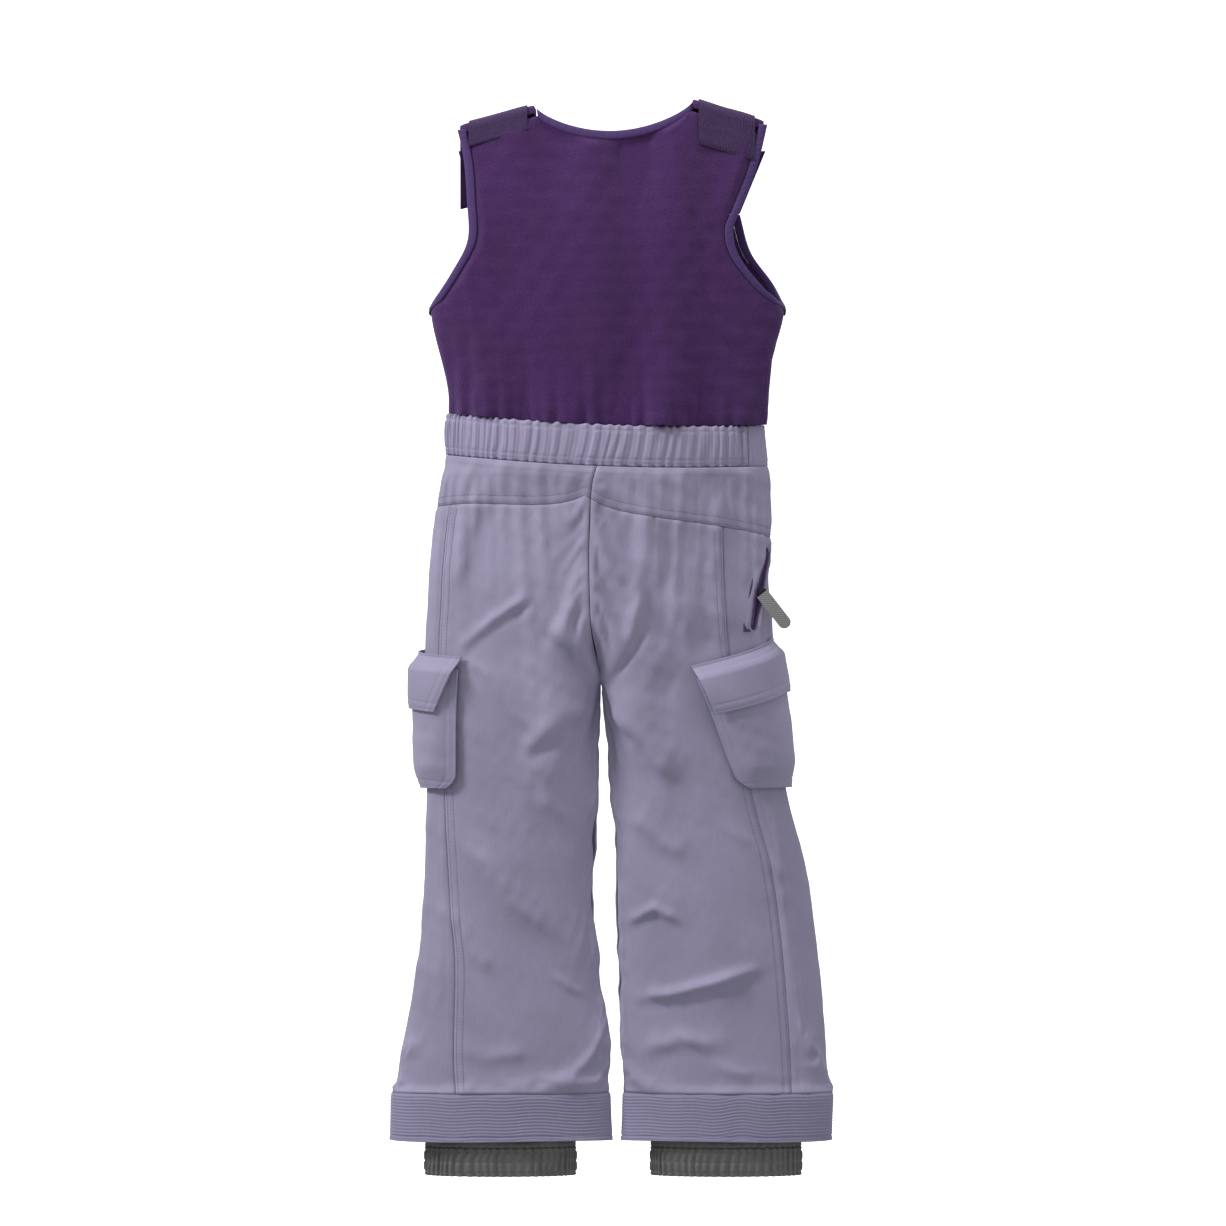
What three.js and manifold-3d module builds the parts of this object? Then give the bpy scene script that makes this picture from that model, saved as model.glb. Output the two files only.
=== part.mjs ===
// Child's ski bib: insulated trousers with a fleece bodice, hung upright by its shoulders.
// The wearer's back faces -Y and the wearer's left is -X. Millimetres, +Z up.
import * as THREE from "three";
import { mergeVertices } from "three/addons/utils/BufferGeometryUtils.js";
import Module from "manifold-3d";

const wasm = await Module();
wasm.setup();

// Heights, stacked from the lower edge of the gaiters
const GAITER_DROP = 33;
const CUFF_HEIGHT = 43;
const INSEAM = 397;
const RISE = 212;
const BAND_HEIGHT = 37;
const BODICE_HEIGHT = 108;
const ARMHOLE_HEIGHT = 182;
const HANG_DROP = 12;
const HEM = GAITER_DROP;
const CUFF_TOP = HEM + CUFF_HEIGHT;
const FORK = HEM + INSEAM;
const WAIST = FORK + RISE;
const BAND_TOP = WAIST + BAND_HEIGHT;
const UNDERARM = BAND_TOP + BODICE_HEIGHT;
const SHOULDER = UNDERARM + ARMHOLE_HEIGHT;
const HANG_HEIGHT = SHOULDER - HANG_DROP;

// Cloth thicknesses and clearances
const CLEARANCE = 0.3;
const SHELL = 2;
const FLEECE = 3;
const TAPE = 0.7;
const FACET_CLEARANCE = 1;
const LINING_INSET = 7.6;
const LINING = 1;
const CASING = 1.2;
const BINDING_WIDTH = 7.6;

// Flat widths and where they sit
const FORK_X = -6;
const FRONT_X = 4;
const FORK_BLEND = 75;
const BACK_SEAM_SHIFT = -15;
const WAIST_WIDTH = 293;
const CHEST_WIDTH = 323;
const HIP_WIDTH = 316;

const mix = (a, b, t) => a + (b - a) * t;
const clamp01 = (t) => Math.min(1, Math.max(0, t));
const smooth = (t) => clamp01(t) ** 2 * (3 - 2 * clamp01(t));

// A smooth function through a few [position, value] points
function curve(points) {
  const last = points.length - 1;
  const slopes = points.map((_, i) => {
    const before = points[Math.max(i - 1, 0)];
    const after = points[Math.min(i + 1, last)];
    return (after[1] - before[1]) / (after[0] - before[0]);
  });
  return (position) => {
    const p = Math.min(points[last][0], Math.max(points[0][0], position));
    let i = 0;
    while (i < last - 1 && p > points[i + 1][0]) i += 1;
    const span = points[i + 1][0] - points[i][0];
    const t = (p - points[i][0]) / span;
    const bend = t * (1 - t) * span * ((1 - t) * slopes[i] - t * slopes[i + 1]);
    const step = t * t * (3 - 2 * t);
    return mix(points[i][1], points[i + 1][1], step) + bend;
  };
}

const spread = (low, high, count) =>
  Array.from({ length: count + 1 }, (_, i) => mix(low, high, i / count));
const legAt = (share) => HEM + share * INSEAM;
const riseAt = (share) => FORK + share * RISE;

// Half the front-to-back depth of the hung garment
const halfDepth = curve([
  [HEM, 22],
  [legAt(0.57), 27],
  [FORK, 35],
  [riseAt(0.42), 39.6],
  [riseAt(0.62), 38],
  [WAIST, 35],
  [BAND_TOP, 33.4],
  [UNDERARM, 29.3],
  [UNDERARM + 0.42 * ARMHOLE_HEIGHT, 26.4],
  [UNDERARM + 0.75 * ARMHOLE_HEIGHT, 18],
  [SHOULDER, 10],
]);

// The front zip's slot, which parts both fronts down to this height
const FRONT_ZIP_GAP = 4;
const FRONT_ZIP_RAMP = 12;
const FRONT_ZIP_LOW = riseAt(0.62);

// Outer and inner edges of each half, and how far the side panel's two seams lie from the outer edge
const left = {
  name: "left",
  sign: -1,
  outer: curve([
    [HEM, -196],
    [legAt(0.16), -194],
    [legAt(0.44), -175],
    [legAt(0.75), -169],
    [FORK, -171],
    [riseAt(0.35), -169],
    [riseAt(0.8), -HIP_WIDTH / 2 - 3],
    [WAIST, -WAIST_WIDTH / 2 - 2],
    [BAND_TOP, -WAIST_WIDTH / 2],
    [BAND_TOP + 0.3 * BODICE_HEIGHT, -WAIST_WIDTH / 2 + 1],
    [UNDERARM, -CHEST_WIDTH / 2],
    [SHOULDER, -CHEST_WIDTH / 2],
  ]),
  inner: curve([
    [HEM, 1],
    [legAt(0.25), 0],
    [legAt(0.5), -14],
    [legAt(0.8), -10],
    [FORK, FORK_X - CLEARANCE],
  ]),
  backSeam: curve([
    [CUFF_TOP, 58],
    [legAt(0.33), 43],
    [legAt(0.6), 25],
    [FORK, 16],
    [WAIST, 15],
  ]),
  frontSeam: curve([
    [CUFF_TOP, 30],
    [legAt(0.6), 58],
    [FORK, 70],
    [WAIST, 72],
  ]),
};
const right = {
  name: "right",
  sign: 1,
  outer: curve([
    [HEM, 201],
    [legAt(0.16), 203],
    [legAt(0.44), 194],
    [legAt(0.62), 184],
    [legAt(0.8), 166],
    [FORK, 157],
    [riseAt(0.3), 148],
    [riseAt(0.8), HIP_WIDTH / 2 - 9],
    [WAIST, WAIST_WIDTH / 2 - 2],
    [BAND_TOP, WAIST_WIDTH / 2 - 4],
    [BAND_TOP + 0.5 * BODICE_HEIGHT, WAIST_WIDTH / 2 + 1],
    [UNDERARM, CHEST_WIDTH / 2 - 1],
    [SHOULDER, CHEST_WIDTH / 2 - 1],
  ]),
  inner: curve([
    [HEM, 15],
    [legAt(0.25), 12],
    [legAt(0.6), 8],
    [legAt(0.88), 0],
    [FORK, FORK_X + CLEARANCE],
  ]),
  backSeam: curve([
    [CUFF_TOP, 37],
    [legAt(0.6), 36],
    [FORK, 37],
    [WAIST, 49],
  ]),
  frontSeam: curve([
    [CUFF_TOP, 38],
    [legAt(0.6), 40],
    [FORK, 48],
    [WAIST, 40],
  ]),
};
const SIDES = [left, right];

const backMiddle = curve([
  [FORK, FORK_X],
  [riseAt(0.25), BACK_SEAM_SHIFT],
  [riseAt(0.9), BACK_SEAM_SHIFT],
  [BAND_TOP, 0],
  [SHOULDER, 4],
]);
const frontMiddle = curve([
  [FORK, FORK_X],
  [riseAt(0.4), FRONT_X],
  [SHOULDER, FRONT_X],
]);

// A point on one half of the garment. q runs from the back seam or inseam (-1) round the outer
// edge (0) to the front seam or inseam (1); inset is the depth below the outer surface.
function bodyPoint(side, q, height, inset = 0) {
  const outer = side.outer(height);
  const inner = side.inner(height);
  const middle = (q < 0 ? backMiddle : frontMiddle)(height);
  const seat = smooth((height - FORK) / FORK_BLEND);
  const legHalf = Math.abs(outer - inner) / 2 - inset;
  const legX = (outer + inner) / 2 + side.sign * legHalf * Math.cos(Math.PI * q);
  const seatHalf = Math.abs(outer - middle) - inset;
  const seatX = middle + side.sign * seatHalf * Math.cos((Math.PI * q) / 2);
  const round = mix(Math.sin(Math.PI * q), Math.sin((Math.PI * q) / 2), seat);
  return [mix(legX, seatX, seat), (halfDepth(height) - inset) * round, height];
}

// The q on one face (-1 back, 1 front) that lies a given distance in from the outer edge
function edgeOffset(side, height, distance, face) {
  const outer = side.outer(height);
  let low = 0;
  let high = 1;
  for (let step = 0; step < 24; step += 1) {
    const middle = (low + high) / 2;
    const reached = Math.abs(bodyPoint(side, face * middle, height)[0] - outer);
    if (reached < distance) low = middle;
    else high = middle;
  }
  return face * low;
}

// How far the surface runs, in millimetres, for each unit of q
function surfaceRate(side, q, height) {
  const step = 0.002;
  const a = bodyPoint(side, q - step, height);
  const b = bodyPoint(side, q + step, height);
  return Math.hypot(b[0] - a[0], b[1] - a[1]) / (2 * step);
}

// A point on the bodice, from its x and face; the outer layer keeps its x, deeper layers shrink in
function bodicePoint(x, height, face, inset = 0) {
  const middle = (face < 0 ? backMiddle : frontMiddle)(height);
  const side = x < middle ? left : right;
  const full = Math.abs(side.outer(height) - middle);
  const share = Math.min(1, Math.abs(x - middle) / full);
  const depth = (halfDepth(height) - inset) * Math.sqrt(1 - share * share);
  const y = face * Math.max(depth, 0.7 * CLEARANCE);
  return [middle + side.sign * (full - inset) * share, y, height];
}

// Seam heights as they run across the garment
const across = (side, q) => bodyPoint(side, q, WAIST)[0];
const bandSag = (x) => 12 * ((x - 60) / 205) ** 2;
const bandLow = (x) => WAIST - 1 + bandSag(x);
const bandHigh = (x) => BAND_TOP - 1 + bandSag(x);
const YOKE_DEPTH = 42;
function yokeHeight(x) {
  const peak = 15 * Math.exp(-Math.abs(x - BACK_SEAM_SHIFT) / 22);
  return WAIST - YOKE_DEPTH - 0.1 * x + peak - 9 * (x / 155) ** 4;
}

// Closed solids from a grid: pointAt(i, j, layer) with layer 0 outside and 1 inside
function gridGeometry(pointAt, columns, rows, wrap = false) {
  const positions = [];
  const width = wrap ? columns : columns + 1;
  for (const layer of [0, 1]) {
    for (let j = 0; j <= rows; j += 1) {
      for (let i = 0; i < width; i += 1) positions.push(...pointAt(i, j, layer));
    }
  }
  const at = (i, j, layer) => layer * width * (rows + 1) + j * width + (i % width);
  const faces = [];
  const quad = (a, b, c, d) => faces.push(a, b, c, a, c, d);
  for (let j = 0; j < rows; j += 1) {
    for (let i = 0; i < columns; i += 1) {
      quad(at(i, j, 0), at(i + 1, j, 0), at(i + 1, j + 1, 0), at(i, j + 1, 0));
      quad(at(i, j, 1), at(i, j + 1, 1), at(i + 1, j + 1, 1), at(i + 1, j, 1));
    }
    if (!wrap) {
      quad(at(0, j, 0), at(0, j + 1, 0), at(0, j + 1, 1), at(0, j, 1));
      quad(at(columns, j + 1, 0), at(columns, j, 0), at(columns, j, 1), at(columns, j + 1, 1));
    }
  }
  for (let i = 0; i < columns; i += 1) {
    quad(at(i + 1, 0, 0), at(i, 0, 0), at(i, 0, 1), at(i + 1, 0, 1));
    quad(at(i, rows, 0), at(i + 1, rows, 0), at(i + 1, rows, 1), at(i, rows, 1));
  }
  const geometry = new THREE.BufferGeometry();
  geometry.setAttribute("position", new THREE.Float32BufferAttribute(positions, 3));
  geometry.setIndex(faces);
  return facingOut(geometry);
}

// The same faces, turned if they face in
function facingOut(geometry) {
  const index = geometry.index.array;
  const position = geometry.attributes.position;
  const corner = (k) => new THREE.Vector3().fromBufferAttribute(position, index[k]);
  let volume = 0;
  for (let k = 0; k < index.length; k += 3) {
    volume += corner(k).dot(corner(k + 1).cross(corner(k + 2)));
  }
  if (volume < 0) {
    for (let k = 0; k < index.length; k += 3) {
      [index[k], index[k + 1]] = [index[k + 1], index[k]];
    }
  }
  return geometry;
}

function toSolid(geometry) {
  const bare = geometry.clone();
  bare.deleteAttribute("normal");
  bare.deleteAttribute("uv");
  const merged = mergeVertices(bare, 1e-4);
  return new wasm.Manifold(
    new wasm.Mesh({
      numProp: 3,
      vertProperties: new Float32Array(merged.attributes.position.array),
      triVerts: new Uint32Array(merged.index.array),
    }),
  );
}

function subtract(geometry, cutter) {
  const mesh = toSolid(geometry).subtract(toSolid(cutter)).getMesh();
  const cut = new THREE.BufferGeometry();
  cut.setAttribute("position", new THREE.BufferAttribute(mesh.vertProperties, 3));
  cut.setIndex(new THREE.BufferAttribute(mesh.triVerts, 1));
  return cut;
}

// Materials
const cloth = (color, roughness = 0.85) =>
  new THREE.MeshStandardMaterial({ color, roughness, metalness: 0 });
const LAVENDER = cloth(0x918ba6);
const CUFF_CLOTH = cloth(0x7b7791);
const BAND_CLOTH = cloth(0x8f88a6);
const FLEECE_CLOTH = cloth(0x402154, 0.95);
const LOOP_CLOTH = cloth(0x3e2454, 0.95);
const BINDING_CLOTH = cloth(0x442664, 0.7);
const GREY_NYLON = cloth(0x515152, 0.6);
const WEBBING = cloth(0x7a787a);
const LINING_CLOTH = cloth(0x6f6a80, 0.6);
const ELASTIC_CLOTH = cloth(0xe2e0dc);
const COIL_PLASTIC = cloth(0x4a2f66, 0.5);
const ZIP_METAL = new THREE.MeshStandardMaterial({ color: 0x222225, roughness: 0.4, metalness: 0.6 });

const garment = new THREE.Group();
const model = new THREE.Group();
model.position.z = -HANG_HEIGHT;
garment.add(model);

function add(name, geometry, material) {
  const mesh = new THREE.Mesh(geometry, material);
  mesh.name = name;
  model.add(mesh);
  return mesh;
}

// A panel of one half: seams are q edges with so many columns between each two, levels its heights
function panel(side, seams, columns, levels, insets) {
  const rows = levels(0).length - 1;
  const shares = columns.flatMap((count, part) => spread(part, part + 1, count).slice(part ? 1 : 0));
  const point = (share, row, inset) => {
    const part = Math.min(Math.floor(share), columns.length - 1);
    let height = levels(0)[row];
    let q = 0;
    for (let pass = 0; pass < 4; pass += 1) {
      q = mix(seams[part](height), seams[part + 1](height), share - part);
      height = levels(q)[row];
    }
    return bodyPoint(side, q, height, inset);
  };
  return gridGeometry((i, j, layer) => point(shares[i], j, insets[layer]), shares.length - 1, rows);
}

// Panel rows lie closer together where the legs join; two more follow, at the front zip's foot and the top
const LEG_ROWS = [0, 0.17, 0.34, 0.5, 0.6, 0.675, 0.72, 0.77, 0.83];
const YOKE_ROWS = 2;

function shellSeams(side) {
  const gap = (q, height) => CLEARANCE / surfaceRate(side, q, height);
  const back = (height) => edgeOffset(side, height, side.backSeam(height), -1);
  const front = (height) => edgeOffset(side, height, side.frontSeam(height), 1);
  const zipEdge = (height) => {
    const wide = FRONT_ZIP_GAP * smooth((height - FRONT_ZIP_LOW) / FRONT_ZIP_RAMP + 1);
    return 1 - (CLEARANCE + wide) / surfaceRate(side, 0.98, height);
  };
  return {
    centreBack: (height) => -1 + gap(-0.98, height),
    back,
    backMinus: (height) => back(height) - 0.5 * gap(back(height), height),
    backPlus: (height) => back(height) + 0.5 * gap(back(height), height),
    frontMinus: (height) => front(height) - 0.5 * gap(front(height), height),
    frontPlus: (height) => front(height) + 0.5 * gap(front(height), height),
    centreFront: zipEdge,
  };
}

function legLevels(side) {
  return (q) => {
    const top = yokeHeight(across(side, q)) - CLEARANCE;
    return [...LEG_ROWS.map((share) => mix(CUFF_TOP, top, share)), FRONT_ZIP_LOW, top];
  };
}
function yokeLevels(side) {
  return (q) => {
    const x = across(side, q);
    return spread(yokeHeight(x), bandLow(x) - CLEARANCE, YOKE_ROWS);
  };
}

function addShell(side) {
  const seams = shellSeams(side);
  const insets = [0, SHELL];
  const leg = legLevels(side);
  const yoke = yokeLevels(side);
  const whole = (q) => [...leg(q), ...yoke(q).slice(1)];
  const backPanel = panel(side, [seams.centreBack, seams.backMinus], [10], leg, insets);
  const sidePanel = panel(side, [seams.backPlus, seams.frontMinus], [10], leg, insets);
  const frontPanel = panel(side, [seams.frontPlus, seams.centreFront], [8], whole, insets);
  const yokeSeams = [seams.centreBack, seams.back, seams.frontMinus];
  const yokePanel = panel(side, yokeSeams, [10, 10], yoke, insets);
  add(`back_panel_${side.name}`, backPanel, LAVENDER);
  add(`side_panel_${side.name}`, subtract(sidePanel, zipSlot(side)), LAVENDER);
  add(`front_panel_${side.name}`, frontPanel, LAVENDER);
  add(`back_yoke_${side.name}`, yokePanel, LAVENDER);
}

const LINING_RAISE = 14;
function addLining(side) {
  const seams = shellSeams(side);
  const levels = (q) => [
    CUFF_TOP + LINING_RAISE,
    ...legLevels(side)(q).slice(1),
    ...yokeLevels(side)(q).slice(1),
  ];
  const insets = [LINING_INSET, LINING_INSET + LINING];
  const edges = [seams.centreBack, seams.centreFront];
  add(`lining_${side.name}`, panel(side, edges, [24], levels, insets), LINING_CLOTH);
}

// Scuff cuffs, gaiter skirts and their elastic bands are tubes round each leg
const CUFF_FLARE = 1.5;
const AROUND = 28;
function tube(pointAt, rows, columns = AROUND) {
  return gridGeometry(
    (i, j, layer) => pointAt(-1 + (2 * i) / columns, j / rows, layer),
    columns,
    rows,
    true,
  );
}

const GAITER_WIDTH = 138;
const GAITER_HALF_DEPTH = 19;
const GAITER_BAND = 27;
const GAITER_RISE = 70;
const GAITER_ELASTIC = 3;
const SKIRT_CLOTH = 1;
const GAITER_X = { left: -97.5, right: 107 };

function gaiterRing(side, q, height, inset) {
  const reach = GAITER_WIDTH / 2 - inset;
  const x = GAITER_X[side.name] + side.sign * reach * Math.cos(Math.PI * q);
  return [x, (GAITER_HALF_DEPTH - inset) * Math.sin(Math.PI * q), height];
}

function addLegEnds(side) {
  const cuff = tube((q, t, layer) => {
    const height = mix(HEM, CUFF_TOP - CLEARANCE, t);
    return bodyPoint(side, q, height, layer ? SHELL + 0.5 : -CUFF_FLARE * (1 - t));
  }, 2);
  add(`hem_cuff_${side.name}`, cuff, CUFF_CLOTH);

  const top = GAITER_BAND + GAITER_RISE;
  const skirt = tube((q, t, layer) => {
    const height = mix(GAITER_BAND + CLEARANCE, top, t);
    const inset = SKIRT_CLOTH * layer;
    const ring = gaiterRing(side, q, height, inset);
    const leg = bodyPoint(side, q, height, LINING_INSET + LINING + FACET_CLEARANCE + inset);
    const open = smooth(t * 1.25);
    return ring.map((value, k) => mix(value, leg[k], open));
  }, 4);
  add(`gaiter_skirt_${side.name}`, skirt, GREY_NYLON);

  const band = tube(
    (q, t, layer) => gaiterRing(side, q, mix(0, GAITER_BAND, t), layer * GAITER_ELASTIC - 1),
    2,
  );
  add(`gaiter_elastic_${side.name}`, band, GREY_NYLON);
}

// Waistband: a gathered casing over the elastic across the back, plain ends meeting at the zip
const ELASTIC = 1.8;
const BAND_DEPTH = 5.4;
const BAND_BACK_LEFT = 0.05;
const BAND_BACK_RIGHT = -0.31;
const bandHalf = (turn) => (turn < 0 ? left : right);
function bandPoint(turn, height, inset) {
  const q = Math.abs(turn) - 1;
  return bodyPoint(bandHalf(turn), q, height, inset);
}
const bandX = (turn) => across(bandHalf(turn), Math.abs(turn) - 1);

function addWaistband() {
  const from = -1 - BAND_BACK_LEFT;
  const to = 1 + BAND_BACK_RIGHT;
  const columns = 22;
  const insets = [
    [0, 0, BAND_DEPTH, BAND_DEPTH],
    [CASING, CASING, BAND_DEPTH - CASING, BAND_DEPTH - CASING],
  ];
  const casing = gridGeometry(
    (i, j, layer) => {
      const turn = mix(from, to, i / columns);
      const x = bandX(turn);
      const top = bandHigh(x) - (layer ? CASING : 0);
      return bandPoint(turn, j === 0 || j === 3 ? bandLow(x) : top, insets[layer][j]);
    },
    columns,
    3,
  );
  add("waistband_back", casing, BAND_CLOTH);

  const elastic = gridGeometry(
    (i, j, layer) => {
      const turn = mix(from, to, i / columns);
      const x = bandX(turn);
      const height = j === 0 ? bandLow(x) + 1 : bandHigh(x) - CASING - 1;
      return bandPoint(turn, height, (BAND_DEPTH + (layer ? ELASTIC : -ELASTIC)) / 2);
    },
    columns,
    1,
  );
  add("waist_elastic", elastic, ELASTIC_CLOTH);

  for (const side of SIDES) {
    const start = side === left ? BAND_BACK_LEFT : BAND_BACK_RIGHT;
    const edges = [
      () => start + 2 * CLEARANCE / surfaceRate(side, start, WAIST),
      shellSeams(side).centreFront,
    ];
    const levels = (q) => spread(bandLow(across(side, q)), bandHigh(across(side, q)), 1);
    const columnsHere = side === left ? 9 : 13;
    const piece = panel(side, edges, [columnsHere], levels, [0, BAND_DEPTH - 2 * CASING]);
    add(`waistband_front_${side.name}`, piece, BAND_CLOTH);
  }
}

// Bodice outlines: the armhole edges rise from the underarm, the neckline runs between the peaks
const BACK_NECK_DROP = 27;
const TAB_BASE = UNDERARM + 0.47 * ARMHOLE_HEIGHT;
const FRONT_NECK_LOW = UNDERARM + 0.38 * ARMHOLE_HEIGHT;
const ARMHOLE_LOW = UNDERARM - BINDING_WIDTH;
const armholeAt = (share) => UNDERARM + share * ARMHOLE_HEIGHT;

const backEdge = {
  left: curve([
    [UNDERARM, left.outer(UNDERARM)],
    [armholeAt(0.16), -142],
    [armholeAt(0.32), -127],
    [armholeAt(0.5), -127],
    [armholeAt(0.75), -131],
    [SHOULDER, -142],
  ]),
  right: curve([
    [UNDERARM, right.outer(UNDERARM)],
    [armholeAt(0.1), 139],
    [armholeAt(0.25), 118],
    [armholeAt(0.38), 113],
    [armholeAt(0.48), 120],
    [armholeAt(0.7), 135],
    [SHOULDER, 148],
  ]),
};
const frontEdge = {
  left: curve([
    [UNDERARM, left.outer(UNDERARM)],
    [armholeAt(0.12), -141],
    [armholeAt(0.28), -124],
    [TAB_BASE, -120],
  ]),
  right: curve([
    [UNDERARM, right.outer(UNDERARM)],
    [armholeAt(0.12), 150],
    [armholeAt(0.28), 130],
    [TAB_BASE, 120],
  ]),
};

// Shoulder slope and neckline of the back, by share of the width from left to right
const NECK_LEFT = 0.26;
const NECK_RIGHT = 0.755;
function backTop(share) {
  if (share <= NECK_LEFT) return mix(SHOULDER - 20, SHOULDER + 1, share / NECK_LEFT);
  if (share >= NECK_RIGHT) {
    return mix(SHOULDER + 6, SHOULDER - 15, (share - NECK_RIGHT) / (1 - NECK_RIGHT));
  }
  const t = (share - NECK_LEFT) / (NECK_RIGHT - NECK_LEFT);
  const scoop = Math.sin(Math.PI * t) ** 0.6;
  return mix(SHOULDER + 1, SHOULDER + 6, t) - BACK_NECK_DROP * scoop;
}

const BODICE_LOW_ROWS = 4;
const BODICE_HIGH_ROWS = 9;

// Height of a bodice row: the lower rows reach the armhole, the upper ones reach the top edge
function bodiceHeight(row, low, top) {
  if (row <= BODICE_LOW_ROWS) return mix(low, ARMHOLE_LOW, row / BODICE_LOW_ROWS);
  return mix(ARMHOLE_LOW, top, (row - BODICE_LOW_ROWS) / BODICE_HIGH_ROWS);
}

// The fleece stops short of the armhole edge by the width of the binding
function fleeceEdge(edge, side, height) {
  if (height <= ARMHOLE_LOW) return side.outer(height);
  const inset = (BINDING_WIDTH + CLEARANCE) * smooth((height - ARMHOLE_LOW) / (2 * BINDING_WIDTH));
  return edge(Math.max(height, UNDERARM)) - side.sign * inset;
}

// The straps start this far under the shoulder line
const STRAP_START = 9;
const BACK_SHARES = [0, 0.09, 0.17, NECK_LEFT, 0.3, 0.35, 0.42, 0.5, 0.58, 0.66, 0.71, NECK_RIGHT,
  0.83, 0.91, 1];
const shoulderTrim = (share) => {
  const neck = share > NECK_LEFT && share < NECK_RIGHT;
  return neck ? BINDING_WIDTH + CLEARANCE : STRAP_START + 5 * FACET_CLEARANCE;
};

function backHeights(share) {
  const x = mix(left.outer(BAND_TOP), right.outer(BAND_TOP), share);
  const top = backTop(share) - shoulderTrim(share);
  return (row) => bodiceHeight(row, bandHigh(x) + FACET_CLEARANCE, top);
}

function addBackBodice() {
  const rows = BODICE_LOW_ROWS + BODICE_HIGH_ROWS;
  const back = gridGeometry(
    (i, j, layer) => {
      const share = BACK_SHARES[i];
      const height = backHeights(share)(j);
      const from = fleeceEdge(backEdge.left, left, height);
      const to = fleeceEdge(backEdge.right, right, height);
      return bodicePoint(mix(from, to, share), height, -1, layer * FLEECE);
    },
    BACK_SHARES.length - 1,
    rows,
  );
  add("bodice_back", back, FLEECE_CLOTH);
}

const FRONT_COLUMNS = 8;
const TAB_SHARE = 0.5;

// Top edge of a front: level under the shoulder tab, then falling to the zip
function frontTop(share) {
  const fall = smooth((TAB_SHARE - share) / TAB_SHARE);
  return mix(TAB_BASE, FRONT_NECK_LOW, fall);
}

function frontHeights(side, share) {
  const x = mix(FRONT_X, side.outer(BAND_TOP), share);
  return (row) => bodiceHeight(row, bandHigh(x) + FACET_CLEARANCE, frontTop(share));
}

function addFrontBodice(side) {
  const rows = BODICE_LOW_ROWS + BODICE_HIGH_ROWS;
  const front = gridGeometry(
    (i, j, layer) => {
      const share = i / FRONT_COLUMNS;
      const height = frontHeights(side, share)(j);
      const from = FRONT_X + side.sign * (FRONT_ZIP_GAP + CLEARANCE);
      const to = fleeceEdge(frontEdge[side.name], side, height);
      return bodicePoint(mix(from, to, share), height, 1, layer * FLEECE);
    },
    FRONT_COLUMNS,
    rows,
  );
  add(`bodice_front_${side.name}`, front, FLEECE_CLOTH);
}

// One binding runs up the back of each armhole and down its front, round the underarm
function addArmholeBinding(side) {
  const share = side === left ? 0 : 1;
  const strip = (row, rim, inset) => {
    const face = row < 0 ? 1 : -1;
    const step = Math.abs(row);
    const edge = (face < 0 ? backEdge : frontEdge)[side.name];
    const heights = face < 0 ? backHeights(share) : frontHeights(side, 1);
    const inner = heights(BODICE_LOW_ROWS + step);
    const top = heights(BODICE_LOW_ROWS + BODICE_HIGH_ROWS);
    const outer = mix(UNDERARM, top, step / BODICE_HIGH_ROWS);
    const height = rim ? inner : outer;
    const x = rim ? fleeceEdge(edge, side, inner) + side.sign * 5 * CLEARANCE : edge(outer);
    const point = bodicePoint(x, height, face, inset);
    if (step === 0) point[1] = 0;
    return rim && step === 0 ? [point[0], 0, height + 2 * CLEARANCE] : point;
  };
  const rows = 2 * BODICE_HIGH_ROWS;
  const binding = gridGeometry(
    (i, j, layer) => strip(j - BODICE_HIGH_ROWS, i === 1, layer ? FLEECE + 0.3 : -0.3),
    1,
    rows,
  );
  add(`armhole_binding_${side.name}`, binding, BINDING_CLOTH);
}

function addNeckBinding() {
  const shares = BACK_SHARES.filter((share) => share > NECK_LEFT && share < NECK_RIGHT);
  const binding = gridGeometry(
    (i, j, layer) => {
      const share = shares[i];
      const height = backTop(share) - (j === 0 ? BINDING_WIDTH : 0);
      const from = fleeceEdge(backEdge.left, left, height);
      const to = fleeceEdge(backEdge.right, right, height);
      return bodicePoint(mix(from, to, share), height, -1, layer ? FLEECE : -0.3);
    },
    shares.length - 1,
    1,
  );
  add("neck_binding", binding, BINDING_CLOTH);
}

// Shoulder straps start on the back, fold over the shoulder and hang down behind the front tabs
const STRAP = 2.4;
const PATCH = 1.2;
const STRAP_FRONT_INSET = 8;
const STRAP_HIDDEN = 7;
const STRAP_FRONT_LENGTH = 66;
const PATCH_SHOWS = { left: 13, right: 31 };
const FOLD_STEPS = 4;
const FRONT_STEPS = 3;
const STRAP_EDGES = {
  left: { neck: -65, arm: -136 },
  right: { neck: 74, arm: 143 },
};
function shoulderLine(side, x) {
  const from = backEdge.left(SHOULDER);
  const width = backEdge.right(SHOULDER) - from;
  return backTop((x - from) / width);
}

// Section of a strap at one x: up the back, over the fold and down the front
function strapSection(side, x, rise, drop, end) {
  const top = shoulderLine(side, x);
  const low = top - STRAP_START;
  const back = bodicePoint(x, low, -1)[1] - rise;
  const front = bodicePoint(x, low, 1)[1] - STRAP_FRONT_INSET + rise;
  const points = [[bodicePoint(x, low - drop, -1)[1] - rise, low - drop + CLEARANCE]];
  for (let k = 0; k <= FOLD_STEPS; k += 1) {
    const angle = Math.PI * (1 - k / FOLD_STEPS);
    const y = (back + front) / 2 + ((front - back) / 2) * Math.cos(angle);
    points.push([y, low + 1 + (STRAP_START - 1 + rise) * Math.sin(angle)]);
  }
  for (let k = 1; k <= FRONT_STEPS; k += 1) {
    const height = mix(low, low - end, k / FRONT_STEPS);
    points.push([bodicePoint(x, height, 1)[1] - STRAP_FRONT_INSET + rise, height]);
  }
  return points;
}

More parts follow.
